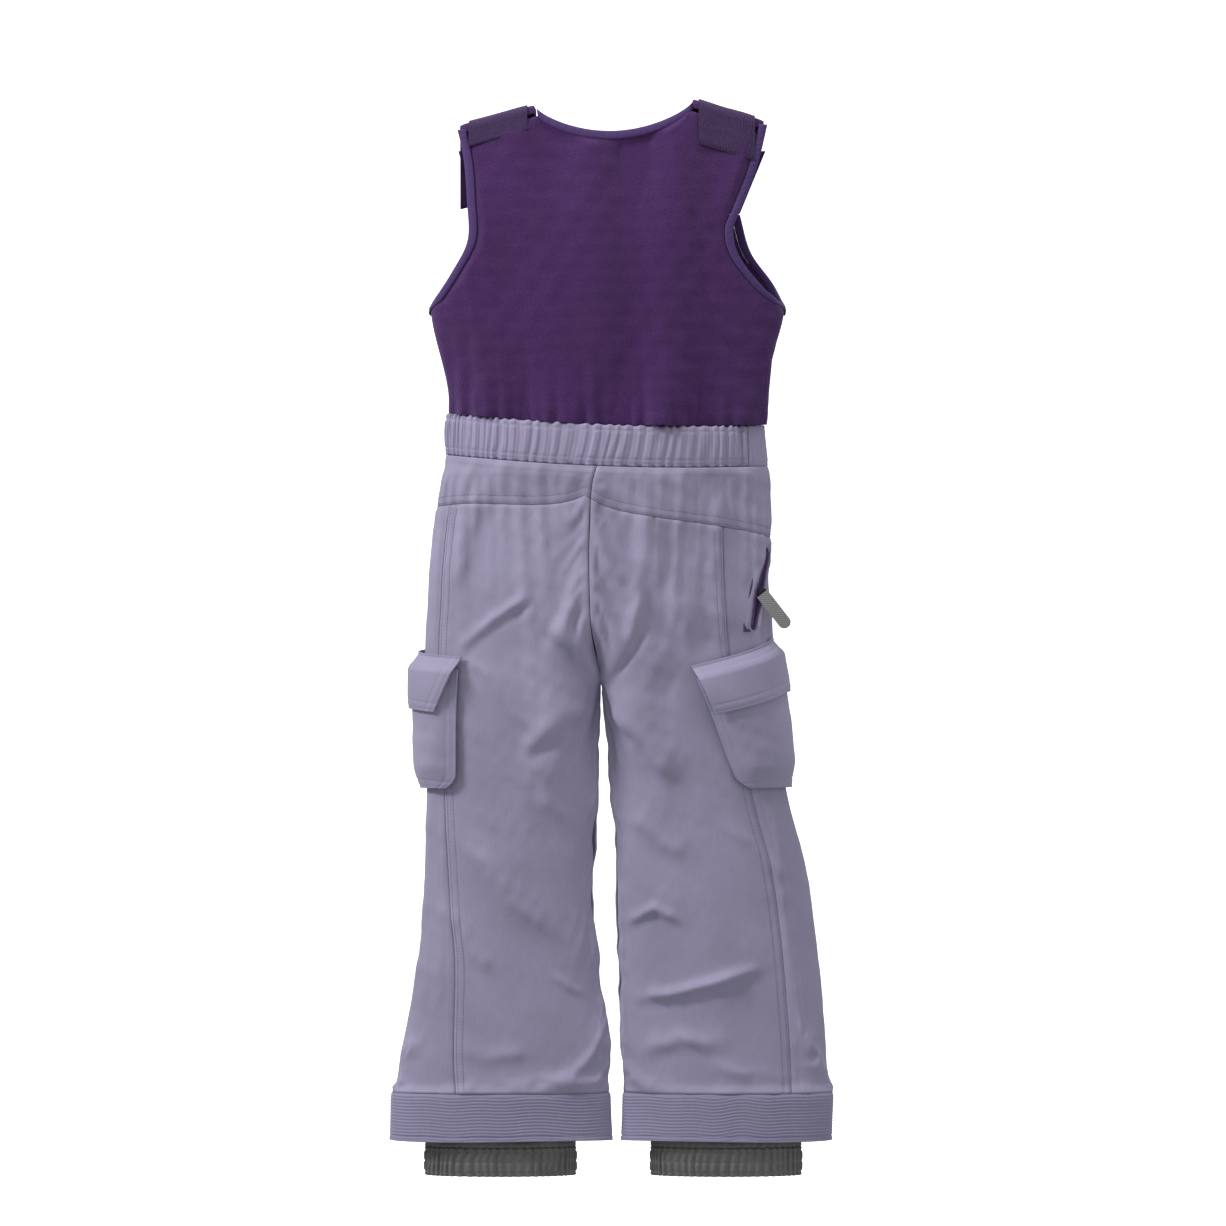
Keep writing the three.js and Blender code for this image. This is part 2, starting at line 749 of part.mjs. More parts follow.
function strapSheet(side, margin, rises, drop, end) {
  const { neck, arm } = STRAP_EDGES[side.name];
  const columns = 4;
  return gridGeometry(
    (i, j, layer) => {
      const x = mix(neck + side.sign * margin, arm - side.sign * margin, i / columns);
      const [y, z] = strapSection(side, x, rises[layer], drop, end)[j];
      const room = side === right ? (backEdge.right(z) - STRAP_HIDDEN - neck) / (arm - neck) : 1;
      return [neck + (x - neck) * (j > FOLD_STEPS + 1 ? Math.min(1, room) : 1), y, z];
    },
    columns,
    FOLD_STEPS + FRONT_STEPS + 1,
  );
}

// The front of each shoulder ends in a tab that presses onto the strap with a hook patch
const TAB_HEIGHT = 56;
const TAB_MARGIN = 3;
function tabPoint(side, share, t, inset) {
  const { neck, arm } = STRAP_EDGES[side.name];
  const baseArm = frontEdge[side.name](TAB_BASE);
  const x = mix(neck + side.sign * TAB_MARGIN, mix(baseArm, arm, t), share);
  const height = TAB_BASE + 2 * CLEARANCE + t * TAB_HEIGHT;
  const y = bodicePoint(x, height, 1)[1] - inset;
  return [x, y, height];
}

function addShoulder(side) {
  const strap = strapSheet(side, 0, [0, -STRAP], 0, STRAP_FRONT_LENGTH);
  add(`shoulder_strap_${side.name}`, strap, FLEECE_CLOTH);
  const rises = [CLEARANCE + PATCH, CLEARANCE];
  const patch = strapSheet(side, 8, rises, PATCH_SHOWS[side.name], STRAP_FRONT_LENGTH - 8);
  add(`shoulder_loop_patch_${side.name}`, patch, LOOP_CLOTH);

  const hookInset = STRAP_FRONT_INSET - 2 * CLEARANCE - PATCH;
  const hook = gridGeometry(
    (i, j, layer) =>
      tabPoint(side, mix(0.16, 0.8, i / 3), mix(0.35, 0.9, j / 2), hookInset - PATCH * (1 - layer)),
    3,
    2,
  );
  add(`tab_hook_patch_${side.name}`, hook, LOOP_CLOTH);
  const tabInset = hookInset - PATCH - CLEARANCE;
  const tab = gridGeometry(
    (i, j, layer) => tabPoint(side, i / 4, j / 4, layer ? tabInset : tabInset - FLEECE),
    4,
    4,
  );
  add(`shoulder_tab_${side.name}`, tab, FLEECE_CLOTH);
}

// A frame at a point of the surface: along its own direction, across it, and outward
function surfaceFrame(point, along, outwardHint) {
  const a = new THREE.Vector3(...along).normalize();
  const out = new THREE.Vector3(...outwardHint);
  out.addScaledVector(a, -out.dot(a)).normalize();
  const c = new THREE.Vector3().crossVectors(a, out);
  return new THREE.Matrix4().makeBasis(c, a, out).setPosition(...point);
}

// Zip sliders and webbing pullers, made with their length along Y and their outer face towards +Z
const SLIDER_WIDTH = 7;
const SLIDER_LENGTH = 10;
const SLIDER_HEIGHT = 3;
const PULLER_WIDTH = 10;
const PULLER_LENGTH = 38;
const PULLER = 1.6;
const SLIDER_LIFT = 1.2;

function sliderGeometry() {
  const outline = new THREE.Shape();
  const half = SLIDER_WIDTH / 2;
  outline.moveTo(-half * 0.6, -SLIDER_LENGTH / 2);
  outline.lineTo(half * 0.6, -SLIDER_LENGTH / 2);
  outline.lineTo(half, SLIDER_LENGTH * 0.2);
  outline.lineTo(half * 0.8, SLIDER_LENGTH / 2);
  outline.lineTo(-half * 0.8, SLIDER_LENGTH / 2);
  outline.lineTo(-half, SLIDER_LENGTH * 0.2);
  outline.closePath();
  return new THREE.ExtrudeGeometry(outline, { depth: SLIDER_HEIGHT, bevelEnabled: false });
}

function pullerGeometry() {
  const half = PULLER_WIDTH / 2;
  const outline = new THREE.Shape();
  outline.moveTo(-half, 0);
  outline.lineTo(-half, -PULLER_LENGTH + half);
  outline.absarc(0, -PULLER_LENGTH + half, half, Math.PI, 2 * Math.PI, false);
  outline.lineTo(half, 0);
  outline.closePath();
  return new THREE.ExtrudeGeometry(outline, { depth: PULLER, bevelEnabled: false, curveSegments: 8 });
}

function placed(geometry, matrix) {
  return mergeVertices(facingOut(mergedPositions(geometry)).applyMatrix4(matrix));
}

function mergedPositions(geometry) {
  const bare = geometry.clone();
  bare.deleteAttribute("normal");
  bare.deleteAttribute("uv");
  return mergeVertices(bare, 1e-4);
}

// Hand-pocket zips: a slanting slot in each side panel, its ends set by distance from the outer edge
const HAND_ZIP_TOP = riseAt(0.64);
const HAND_ZIP_LENGTH = 66;
const HAND_ZIP_WIDTH = 7;
const HAND_ZIP = {
  left: { face: 1, top: 26, bottom: 44, rest: 0.9, pullerTilt: 0.15 },
  right: { face: -1, top: 2.5, bottom: 15, rest: 0.42, pullerTilt: 0.61 },
};
function zipPoint(side, t, offset, inset) {
  const { face, top, bottom } = HAND_ZIP[side.name];
  const height = HAND_ZIP_TOP - HAND_ZIP_LENGTH * (1 - t);
  const q = edgeOffset(side, height, mix(bottom, top, clamp01(t)), face);
  return bodyPoint(side, q + offset / surfaceRate(side, q, height), height, inset);
}

function zipSlot(side) {
  const half = HAND_ZIP_WIDTH / 2;
  return gridGeometry(
    (i, j, layer) => zipPoint(side, j / 5, mix(-half, half, i), layer ? SHELL + 1.5 : -1.5),
    1,
    5,
  );
}

// A racetrack ring on the surface round the slot's middle line
function zipRing(side, halfOuter, halfInner, reach, insets) {
  const steps = 8;
  const ring = (i, half) => {
    const up = i < steps;
    const t = (up ? i : 2 * steps - 1 - i) / (steps - 1);
    const over = (reach + half - halfInner) / HAND_ZIP_LENGTH;
    return [mix(-over, 1 + over, t), up ? -half : half];
  };
  return gridGeometry(
    (i, j, layer) => {
      const [t, offset] = ring(i, j ? halfOuter : halfInner);
      return zipPoint(side, t, offset, insets[layer]);
    },
    2 * steps,
    1,
    true,
  );
}

// Half widths of the zip's tape and coil rings, and how far they run past or short of the slot
const TAPE_OUTER = 8;
const TAPE_INNER = 1.6;
const TAPE_OVERRUN = 3;
const COIL_OUTER = 2.9;
const COIL_INNER = 1.3;
const COIL_SHORTFALL = 2;
const COIL_SUNK = 0.8;
const POCKET_BAG = 1;
const POCKET_BAG_REACH = { low: 20, high: 12 };
function addHandPocket(side) {
  const { face, rest, pullerTilt } = HAND_ZIP[side.name];
  const tapeInset = SHELL + FACET_CLEARANCE;
  const tape = zipRing(side, TAPE_OUTER, TAPE_INNER, TAPE_OVERRUN, [tapeInset, tapeInset + TAPE]);
  add(`hand_zip_tape_${side.name}`, tape, COIL_PLASTIC);
  const coil = zipRing(side, COIL_OUTER, COIL_INNER, -COIL_SHORTFALL, [COIL_SUNK, tapeInset - CLEARANCE]);
  add(`hand_zip_coil_${side.name}`, coil, COIL_PLASTIC);

  const bagInset = tapeInset + TAPE + FACET_CLEARANCE + CLEARANCE;
  const bag = gridGeometry(
    (i, j, layer) => {
      const t = mix(-0.9, 1.1, j / 8);
      const reach = mix(POCKET_BAG_REACH.low, POCKET_BAG_REACH.high, j / 8);
      return zipPoint(side, t, reach * mix(-1, 1, i / 6), bagInset + layer * POCKET_BAG);
    },
    6,
    8,
  );
  add(`hand_pocket_bag_${side.name}`, bag, LINING_CLOTH);

  const base = zipPoint(side, rest, 0, 0);
  const ahead = zipPoint(side, rest + 0.08, 0, 0);
  const along = ahead.map((value, k) => value - base[k]);
  const outward = [side.sign * 0.35, face, 0];
  const frame = surfaceFrame(base, along, outward);
  const lift = new THREE.Matrix4().makeTranslation(0, 0, SLIDER_LIFT);
  add(`hand_zip_slider_${side.name}`, placed(sliderGeometry(), frame.multiply(lift)), ZIP_METAL);

  const hold = new THREE.Vector3(0, 0, SLIDER_HEIGHT + PULLER).applyMatrix4(frame);
  const hang = [-side.sign * Math.sin(pullerTilt), 0, Math.cos(pullerTilt)];
  const swing = surfaceFrame(hold.toArray(), hang, [0, face, 0]);
  add(`hand_zip_puller_${side.name}`, placed(pullerGeometry(), swing), WEBBING);
}

// Front zip: tapes behind both fronts, the coil between them, a slider at the neck
const FRONT_TAPE_WIDTH = 13;
const FRONT_TAPE_INSET = 4.6;
const FRONT_COIL_HALF = 2.6;
const FRONT_SLIDER_DROP = 14;

function frontStrip(from, to, low, high, insets) {
  const rows = 9;
  return gridGeometry(
    (i, j, layer) => {
      const height = mix(low, high, j / rows);
      return bodicePoint(FRONT_X + mix(from, to, i), height, 1, insets[layer]);
    },
    1,
    rows,
  );
}

function addFrontZip() {
  const top = FRONT_NECK_LOW - 2;
  const insets = [FRONT_TAPE_INSET, FRONT_TAPE_INSET + TAPE];
  for (const side of SIDES) {
    const inner = side.sign * CLEARANCE;
    const outer = side.sign * FRONT_TAPE_WIDTH;
    const tape = frontStrip(inner, outer, FRONT_ZIP_LOW, top, insets);
    add(`front_zip_tape_${side.name}`, tape, COIL_PLASTIC);
  }
  const coilInsets = [0.4, FRONT_TAPE_INSET - CLEARANCE];
  const coil = frontStrip(-FRONT_COIL_HALF, FRONT_COIL_HALF, FRONT_ZIP_LOW, top, coilInsets);
  add("front_zip_coil", coil, COIL_PLASTIC);

  const height = top - FRONT_SLIDER_DROP;
  const base = bodicePoint(FRONT_X, height, 1);
  const low = bodicePoint(FRONT_X, FRONT_ZIP_LOW, 1);
  const along = base.map((value, k) => value - low[k]);
  const frame = surfaceFrame(base, along, [0, 1, 0]);
  frame.multiply(new THREE.Matrix4().makeTranslation(0, 0, SLIDER_LIFT));
  add("front_zip_slider", placed(sliderGeometry(), frame), ZIP_METAL);
  frame.multiply(new THREE.Matrix4().makeTranslation(0, 0, SLIDER_HEIGHT + CLEARANCE));
  add("front_zip_puller", placed(pullerGeometry(), frame), WEBBING);
}

// Cargo pockets on the outer thighs: a pouch open at its mouth, under a flap hinged at its top seam.
// Reaches are distances round the leg from its outer edge, and tapers are what they lose going down
const POUCH_CLOTH = 1.5;
const POUCH_DEPTH = 5;
const POUCH_LIFT = FACET_CLEARANCE + 2 * CLEARANCE;
const POUCH_MOUTH_DROP = 12;
const POUCH_MARGIN = 3;
const FLAP_CLOTH = 1.5;
const FLAP_HEIGHT = 50;
const FLAP_RAMP = 16.6;
const POCKET_STRIP = 0.8;
const FLAP_LIFT = POUCH_LIFT + POUCH_DEPTH + POUCH_CLOTH + 2 * POCKET_STRIP + 6 * CLEARANCE;
const HINGE_HOLD = 3;
const HINGE_RAMP = 9;
const CARGO = {
  left: {
    top: riseAt(0.23),
    height: 127,
    back: 39,
    front: 55,
    slant: 8,
    taper: 4,
    flapTaper: 20,
    flapFront: 55,
    strip: [0.62, 0.85],
    hinge: [0, 1, 0],
  },
  right: {
    top: riseAt(0.27),
    height: 135,
    back: 77,
    front: 8,
    slant: 25,
    taper: 27,
    flapTaper: 15,
    flapFront: 0.5,
    strip: [0.2, 0.5],
    hinge: [-0.95, 0, -0.3],
  },
};

// Height lost at the inner end of a pocket's slanting top seam
const seamSlant = (side, share) => CARGO[side.name].slant * (1 - Math.min(1, share * 1.25));

function pouchPoint(side, share, t, layer) {
  const { top, height: tall, back, front, taper } = CARGO[side.name];
  const mouth = top - seamSlant(side, share) - POUCH_MOUTH_DROP;
  const height = mix(top - tall, mouth, t);
  const from = edgeOffset(side, height, back - POUCH_MARGIN - taper * (1 - t), -1);
  const to = edgeOffset(side, height, front - POUCH_MARGIN, 1);
  const edge = Math.min(1, 6 * share * (1 - share) + 0.0001);
  const lift = POUCH_LIFT + POUCH_DEPTH * smooth(edge) * smooth(t * 4);
  return bodyPoint(side, mix(from, to, share), height, layer ? -lift : -lift - POUCH_CLOTH);
}

// A point on the flap's straight hinge line: the left one crosses the outer edge, the right one
// touches the back of the leg at the flap's inner end
function hingePoint(side) {
  const { top } = CARGO[side.name];
  if (side === left) return bodyPoint(side, 0, top, -FACET_CLEARANCE);
  return seamPoint(side, 0, -FACET_CLEARANCE);
}

function seamPoint(side, share, inset) {
  const { top, back, flapFront } = CARGO[side.name];
  const height = top - seamSlant(side, share);
  const q = mix(edgeOffset(side, height, back, -1), edgeOffset(side, height, flapFront, 1), share);
  return bodyPoint(side, q, height, inset);
}

// How far the flap's top seam lies from that line, which decides how proud of the leg it starts
function hingeReach(side, share) {
  const along = new THREE.Vector3(...CARGO[side.name].hinge).normalize();
  const from = new THREE.Vector3(...seamPoint(side, share, -FACET_CLEARANCE));
  from.sub(new THREE.Vector3(...hingePoint(side)));
  return from.addScaledVector(along, -from.dot(along)).length();
}

function flapPoint(side, share, t, layer, rise = 0) {
  const { top, back, flapTaper, flapFront } = CARGO[side.name];
  const height = top - seamSlant(side, share) - FLAP_HEIGHT * t;
  const from = edgeOffset(side, height, back - flapTaper * t, -1);
  const to = edgeOffset(side, height, flapFront, 1);
  const free = smooth((hingeReach(side, share) - HINGE_HOLD) / HINGE_RAMP);
  const lift = mix(FACET_CLEARANCE, FLAP_LIFT, Math.max(free, smooth((t * FLAP_HEIGHT) / FLAP_RAMP))) + rise;
  return bodyPoint(side, mix(from, to, share), height, layer ? -lift : -lift - FLAP_CLOTH);
}

function addCargoPocket(side) {
  const pouch = gridGeometry(
    (i, j, layer) => pouchPoint(side, i / 10, j / 7, layer),
    10,
    7,
  );
  add(`cargo_pocket_${side.name}`, pouch, LAVENDER);
  const flap = gridGeometry(
    (i, j, layer) => flapPoint(side, i / 8, j / 4, layer),
    8,
    4,
  );
  add(`cargo_flap_${side.name}`, flap, LAVENDER);
  addPocketFasteners(side);
}

// Hook strip under the flap and loop strip on the pouch below it
function addPocketFasteners(side) {
  const [from, to] = CARGO[side.name].strip;
  const strip = (offset) => (i, j, layer) => {
    const depth = 3 * CLEARANCE + offset + layer * POCKET_STRIP;
    return flapPoint(side, mix(from, to, i / 4), mix(0.72, 0.9, j), 1, -depth);
  };
  const hook = gridGeometry(strip(0), 4, 1);
  const loop = gridGeometry(strip(POCKET_STRIP + CLEARANCE), 4, 1);
  add(`flap_hook_strip_${side.name}`, hook, LOOP_CLOTH);
  add(`pouch_loop_strip_${side.name}`, loop, LOOP_CLOTH);
}

for (const side of SIDES) {
  addShell(side);
  addLining(side);
  addLegEnds(side);
  addFrontBodice(side);
  addArmholeBinding(side);
  addShoulder(side);
  addHandPocket(side);
  addCargoPocket(side);
}
addWaistband();
addBackBodice();
addNeckBinding();
addFrontZip();

export default garment;
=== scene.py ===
"""A child's ski bib, hung by its shoulders: fleece bodice, gathered waist, insulated legs.

The shapes are worked out in millimetres from the garment's own sizes and turned into metres when
each mesh is made. The wearer's back faces -Y, the wearer's left is -X, and Z is up.
"""

import math
from types import SimpleNamespace

import bpy
import numpy as np
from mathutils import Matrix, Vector


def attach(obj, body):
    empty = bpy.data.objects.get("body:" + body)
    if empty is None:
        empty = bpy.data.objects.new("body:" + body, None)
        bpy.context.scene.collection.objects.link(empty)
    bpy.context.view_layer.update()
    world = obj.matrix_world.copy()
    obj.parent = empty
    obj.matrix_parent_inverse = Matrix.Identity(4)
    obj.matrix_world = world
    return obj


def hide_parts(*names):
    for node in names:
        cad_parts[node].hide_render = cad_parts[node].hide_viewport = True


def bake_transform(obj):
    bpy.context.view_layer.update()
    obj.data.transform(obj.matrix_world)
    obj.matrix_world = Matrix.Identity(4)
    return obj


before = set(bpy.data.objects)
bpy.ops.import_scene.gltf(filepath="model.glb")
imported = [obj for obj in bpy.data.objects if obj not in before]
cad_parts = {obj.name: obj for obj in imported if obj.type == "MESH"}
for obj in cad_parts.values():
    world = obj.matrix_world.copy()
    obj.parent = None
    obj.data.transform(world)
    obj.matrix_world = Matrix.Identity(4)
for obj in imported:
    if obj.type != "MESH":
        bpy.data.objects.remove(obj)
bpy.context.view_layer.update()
ROOT = "garment"
MM = 0.001

# ---------------------------------------------------------------- sizes, in millimetres

HEM = 33
CUFF_HEIGHT = 43
CUFF_TOP = HEM + CUFF_HEIGHT
INSEAM = 397
FORK = HEM + INSEAM
RISE = 212
WAIST = FORK + RISE
BAND_TOP = WAIST + 37
BODICE_HEIGHT = 108
UNDERARM = BAND_TOP + BODICE_HEIGHT
ARMHOLE_HEIGHT = 182
SHOULDER = UNDERARM + ARMHOLE_HEIGHT
HANG_HEIGHT = SHOULDER - 12

CLEARANCE = 0.3
SHELL = 1.6
FLEECE = 2.6
LINING_INSET = 7.6
BINDING_WIDTH = 7.6
FORK_X = -6
FRONT_X = 4
FORK_BLEND = 75
BACK_SEAM_SHIFT = -15
WAIST_WIDTH = 293
CHEST_WIDTH = 323
HIP_WIDTH = 316
YOKE_DEPTH = 42
FRONT_ZIP_LOW = FORK + 0.62 * RISE
FRONT_ZIP_GAP = 4
TAB_BASE = UNDERARM + 0.47 * ARMHOLE_HEIGHT
FRONT_NECK_LOW = UNDERARM + 0.38 * ARMHOLE_HEIGHT

# ---------------------------------------------------------------- small maths


def mix(a, b, t):
    return a + (b - a) * t


def smooth(t):
    t = np.clip(t, 0, 1)
    return t * t * (3 - 2 * t)


def hump(t, centre, width):
    return np.exp(-(((t - centre) / width) ** 2))


def curve(points):
    """A smooth function through a few (position, value) points."""
    at = np.array([p[0] for p in points], float)
    value = np.array([p[1] for p in points], float)
    before = np.maximum(np.arange(len(at)) - 1, 0)
    after = np.minimum(np.arange(len(at)) + 1, len(at) - 1)
    slope = (value[after] - value[before]) / (at[after] - at[before])

    def evaluate(position):
        p = np.clip(np.asarray(position, float), at[0], at[-1])
        i = np.clip(np.searchsorted(at, p, side="right") - 1, 0, len(at) - 2)
        span = at[i + 1] - at[i]
        t = (p - at[i]) / span
        bend = t * (1 - t) * span * ((1 - t) * slope[i] - t * slope[i + 1])
        return mix(value[i], value[i + 1], t * t * (3 - 2 * t)) + bend

    return evaluate


def ripples(seed, wavelength, count=9):
    """Smooth irregular waves over a plane, between about -1 and 1."""
    rng = np.random.default_rng(seed)
    angle = rng.uniform(0, math.pi, count)
    length = wavelength * rng.uniform(0.7, 1.6, count)
    phase = rng.uniform(0, 2 * math.pi, count)

    def evaluate(a, b):
        total = 0
        for k in range(count):
            run = a * math.cos(angle[k]) + b * math.sin(angle[k])
            total = total + np.sin(2 * math.pi * run / length[k] + phase[k])
        return total / math.sqrt(2 * count)

    return evaluate


def unit_rows(vectors):
    return vectors / np.maximum(np.linalg.norm(vectors, axis=-1, keepdims=True), 1e-9)


def leg_at(share):
    return HEM + share * INSEAM


def rise_at(share):
    return FORK + share * RISE


def armhole_at(share):
    return UNDERARM + share * ARMHOLE_HEIGHT


# ---------------------------------------------------------------- the garment's surface

half_depth = curve([
    (HEM, 22), (leg_at(0.57), 27), (FORK, 35), (rise_at(0.42), 39.6), (rise_at(0.62), 38),
    (WAIST, 35), (BAND_TOP, 33.4), (UNDERARM, 29.3), (armhole_at(0.42), 26.4),
    (armhole_at(0.75), 18), (SHOULDER, 10),
])
LEFT = SimpleNamespace(
    name="left",
    sign=-1,
    outer=curve([
        (HEM, -196), (leg_at(0.16), -194), (leg_at(0.44), -175), (leg_at(0.75), -169),
        (FORK, -171), (rise_at(0.35), -169), (rise_at(0.8), -HIP_WIDTH / 2 - 3),
        (WAIST, -WAIST_WIDTH / 2 - 2), (BAND_TOP, -WAIST_WIDTH / 2),
        (BAND_TOP + 0.3 * BODICE_HEIGHT, -WAIST_WIDTH / 2 + 1), (UNDERARM, -CHEST_WIDTH / 2),
        (SHOULDER, -CHEST_WIDTH / 2),
    ]),
    inner=curve([
        (HEM, 1), (leg_at(0.25), 0), (leg_at(0.5), -14), (leg_at(0.8), -10),
        (FORK, FORK_X - CLEARANCE),
    ]),
    back_seam=curve([
        (CUFF_TOP, 58), (leg_at(0.33), 43), (leg_at(0.6), 25), (FORK, 16), (WAIST, 15),
    ]),
    front_seam=curve([(CUFF_TOP, 30), (leg_at(0.6), 58), (FORK, 70), (WAIST, 72)]),
)
RIGHT = SimpleNamespace(
    name="right",
    sign=1,
    outer=curve([
        (HEM, 201), (leg_at(0.16), 203), (leg_at(0.44), 194), (leg_at(0.62), 184),
        (leg_at(0.8), 166), (FORK, 157), (rise_at(0.3), 148), (rise_at(0.8), HIP_WIDTH / 2 - 9),
        (WAIST, WAIST_WIDTH / 2 - 2), (BAND_TOP, WAIST_WIDTH / 2 - 4),
        (BAND_TOP + 0.5 * BODICE_HEIGHT, WAIST_WIDTH / 2 + 1), (UNDERARM, CHEST_WIDTH / 2 - 1),
        (SHOULDER, CHEST_WIDTH / 2 - 1),
    ]),
    inner=curve([
        (HEM, 15), (leg_at(0.25), 12), (leg_at(0.6), 8), (leg_at(0.88), 0),
        (FORK, FORK_X + CLEARANCE),
    ]),
    back_seam=curve([(CUFF_TOP, 37), (leg_at(0.6), 36), (FORK, 37), (WAIST, 49)]),
    front_seam=curve([(CUFF_TOP, 38), (leg_at(0.6), 40), (FORK, 48), (WAIST, 40)]),
)
SIDES = (LEFT, RIGHT)

back_middle = curve([
    (FORK, FORK_X), (rise_at(0.25), BACK_SEAM_SHIFT), (rise_at(0.9), BACK_SEAM_SHIFT),
    (BAND_TOP, 0), (SHOULDER, 4),
])
front_middle = curve([(FORK, FORK_X), (rise_at(0.4), FRONT_X), (SHOULDER, FRONT_X)])


def body_point(side, q, height, inset=0.0):
    """q runs from the back seam or inseam (-1) round the outer edge (0) to the front (1)."""
    q, height = np.broadcast_arrays(np.asarray(q, float), np.asarray(height, float))
    outer = side.outer(height)
    inner = side.inner(height)
    middle = np.where(q < 0, back_middle(height), front_middle(height))
    seat = smooth((height - FORK) / FORK_BLEND)
    leg_half = np.abs(outer - inner) / 2 - inset
    leg_x = (outer + inner) / 2 + side.sign * leg_half * np.cos(math.pi * q)
    seat_half = np.abs(outer - middle) - inset
    seat_x = middle + side.sign * seat_half * np.cos(math.pi * q / 2)
    turn = mix(np.sin(math.pi * q), np.sin(math.pi * q / 2), seat)
    x = mix(leg_x, seat_x, seat)
    return np.stack([x, (half_depth(height) - inset) * turn, height + 0 * q], axis=-1)


def body_normal(side, q, height):
    step_q = 0.004
    step_z = 1.5
    run = body_point(side, q + step_q, height) - body_point(side, q - step_q, height)
    rise = body_point(side, q, height + step_z) - body_point(side, q, height - step_z)
    return unit_rows(side.sign * np.cross(run, rise))


def edge_offset(side, height, distance, face):
    """The q on one face that lies a distance in from the outer edge."""
    height = np.asarray(height, float)
    outer = side.outer(height)
    low = np.zeros_like(outer)
    high = np.ones_like(outer)
    for _ in range(24):
        middle = (low + high) / 2
        near = np.abs(body_point(side, face * middle, height)[..., 0] - outer) < distance
        low = np.where(near, middle, low)
        high = np.where(near, high, middle)
    return face * low


def surface_rate(side, q, height):
    step = 0.002
    gap = body_point(side, q + step, height) - body_point(side, q - step, height)
    return np.linalg.norm(gap, axis=-1) / (2 * step)


def bodice_point(x, height, face, inset=0.0):
    x, height = np.broadcast_arrays(np.asarray(x, float), np.asarray(height, float))
    middle = back_middle(height) if face < 0 else front_middle(height)
    sign = np.where(x < middle, -1.0, 1.0)
    outer = np.where(x < middle, LEFT.outer(height), RIGHT.outer(height))
    full = np.abs(outer - middle)
    share = np.minimum(1, np.abs(x - middle) / full)
    depth = (half_depth(height) - inset) * np.sqrt(1 - share**2)
    y = face * np.maximum(depth, 0.7 * CLEARANCE)
    return np.stack([middle + sign * (full - inset) * share, y, height + 0 * x], axis=-1)


def across(side, q):
    return body_point(side, q, WAIST)[..., 0]


def band_low(x):
    return WAIST - 1 + 12 * ((x - 60) / 205) ** 2


def band_high(x):
    return BAND_TOP - 1 + 12 * ((x - 60) / 205) ** 2


def yoke_height(x):
    peak = 15 * np.exp(-np.abs(x - BACK_SEAM_SHIFT) / 22)
    return WAIST - YOKE_DEPTH - 0.1 * x + peak - 9 * (x / 155) ** 4


# ---------------------------------------------------------------- folds

# Soft folds of the back: points of the fold line (x, height), its half width and its height
BACK_FOLDS = (
    (((-138, 472), (-105, 500), (-66, 527)), 6, 2.6),
    (((-109, 630), (-125, 575), (-135, 522)), 11, 2.2),
    (((4, 639), (35, 560), (83, 468)), 13, 3.0),
    (((-6, 440), (-30, 480), (-58, 500)), 7, 2.6),
    (((-6, 440), (22, 490), (38, 545)), 7, 2.4),
    (((-8, 425), (-40, 415), (-78, 380)), 9, 2.4),
    (((-4, 425), (25, 400), (60, 350)), 10, 2.6),
    (((-133, 466), (-115, 459), (-97, 432), (-70, 396)), 6, 2.6),
    (((-142, 315), (-100, 262), (-43, 198)), 15, 3.6),
    (((-160, 260), (-130, 210), (-95, 170)), 12, 2.6),
    (((-52, 184), (-34, 170), (-16, 162)), 5, 2.6),
    (((-150, 120), (-110, 105), (-60, 112)), 9, 2.0),
    (((11, 225), (42, 241), (69, 225)), 6, 3.2),
    (((15, 159), (60, 164), (101, 175), (155, 193)), 7, 4.4),
    (((20, 110), (70, 122), (120, 116)), 10, 2.4),
    (((160, 260), (130, 300), (95, 320)), 9, 2.2),
    (((10, 330), (45, 300), (75, 285)), 10, 2.4),
    (((-20, 300), (-50, 330), (-70, 350)), 10, 2.0),
)
FRONT_FOLDS = (
    (((-6, 440), (-45, 470), (-95, 500)), 8, 2.8),
    (((-6, 440), (40, 475), (90, 505)), 8, 2.8),
    (((-130, 300), (-95, 262), (-45, 240)), 10, 3.2),
    (((150, 300), (105, 270), (55, 262)), 10, 3.2),
    (((-120, 180), (-80, 160), (-30, 168)), 9, 2.8),
    (((165, 170), (110, 150), (50, 165)), 9, 2.8),
    (((-95, 560), (-60, 520), (-30, 500)), 10, 2.2),
)
HIGHEST_FOLD = 8
DEEPEST_FOLD = 6.2
WAIST_FOLDS = (-118, -92, -61, -34, -10, 14, 29, 47, 66, 87, 105, 123)
drift = ripples(3, 95)
crumple = ripples(5, 38)
creases = ripples(8, 17)


def fold_line(x, z, points, width, height):
    """A ridge with a shallow valley under it along a broken line, fading at its ends."""
    lengths = [math.dist(a, b) for a, b in zip(points, points[1:])]
    whole = sum(lengths)
    start = 0.0
    nearest = np.full(np.shape(x), 1e9)
    result = np.zeros(np.shape(x))
    for (a, b), length in zip(zip(points, points[1:]), lengths):
        ux = (b[0] - a[0]) / length
        uz = (b[1] - a[1]) / length
        along = (x - a[0]) * ux + (z - a[1]) * uz
        held = np.clip(along, 0, length)
        away = np.hypot(x - a[0] - held * ux, z - a[1] - held * uz)
        side = (x - a[0]) * -uz + (z - a[1]) * ux
        share = (start + held) / whole
        fade = smooth(share / 0.3) * smooth((1 - share) / 0.3)
        signed = np.where(side < 0, -away, away) * (1 if ux >= 0 else -1)
        shape = hump(signed, 0.35 * width, width) - 0.75 * hump(signed, -0.9 * width, 0.7 * width)
        use = away < nearest
        nearest = np.where(use, away, nearest)
        result = np.where(use, height * fade * shape, result)
        start += length
    return result


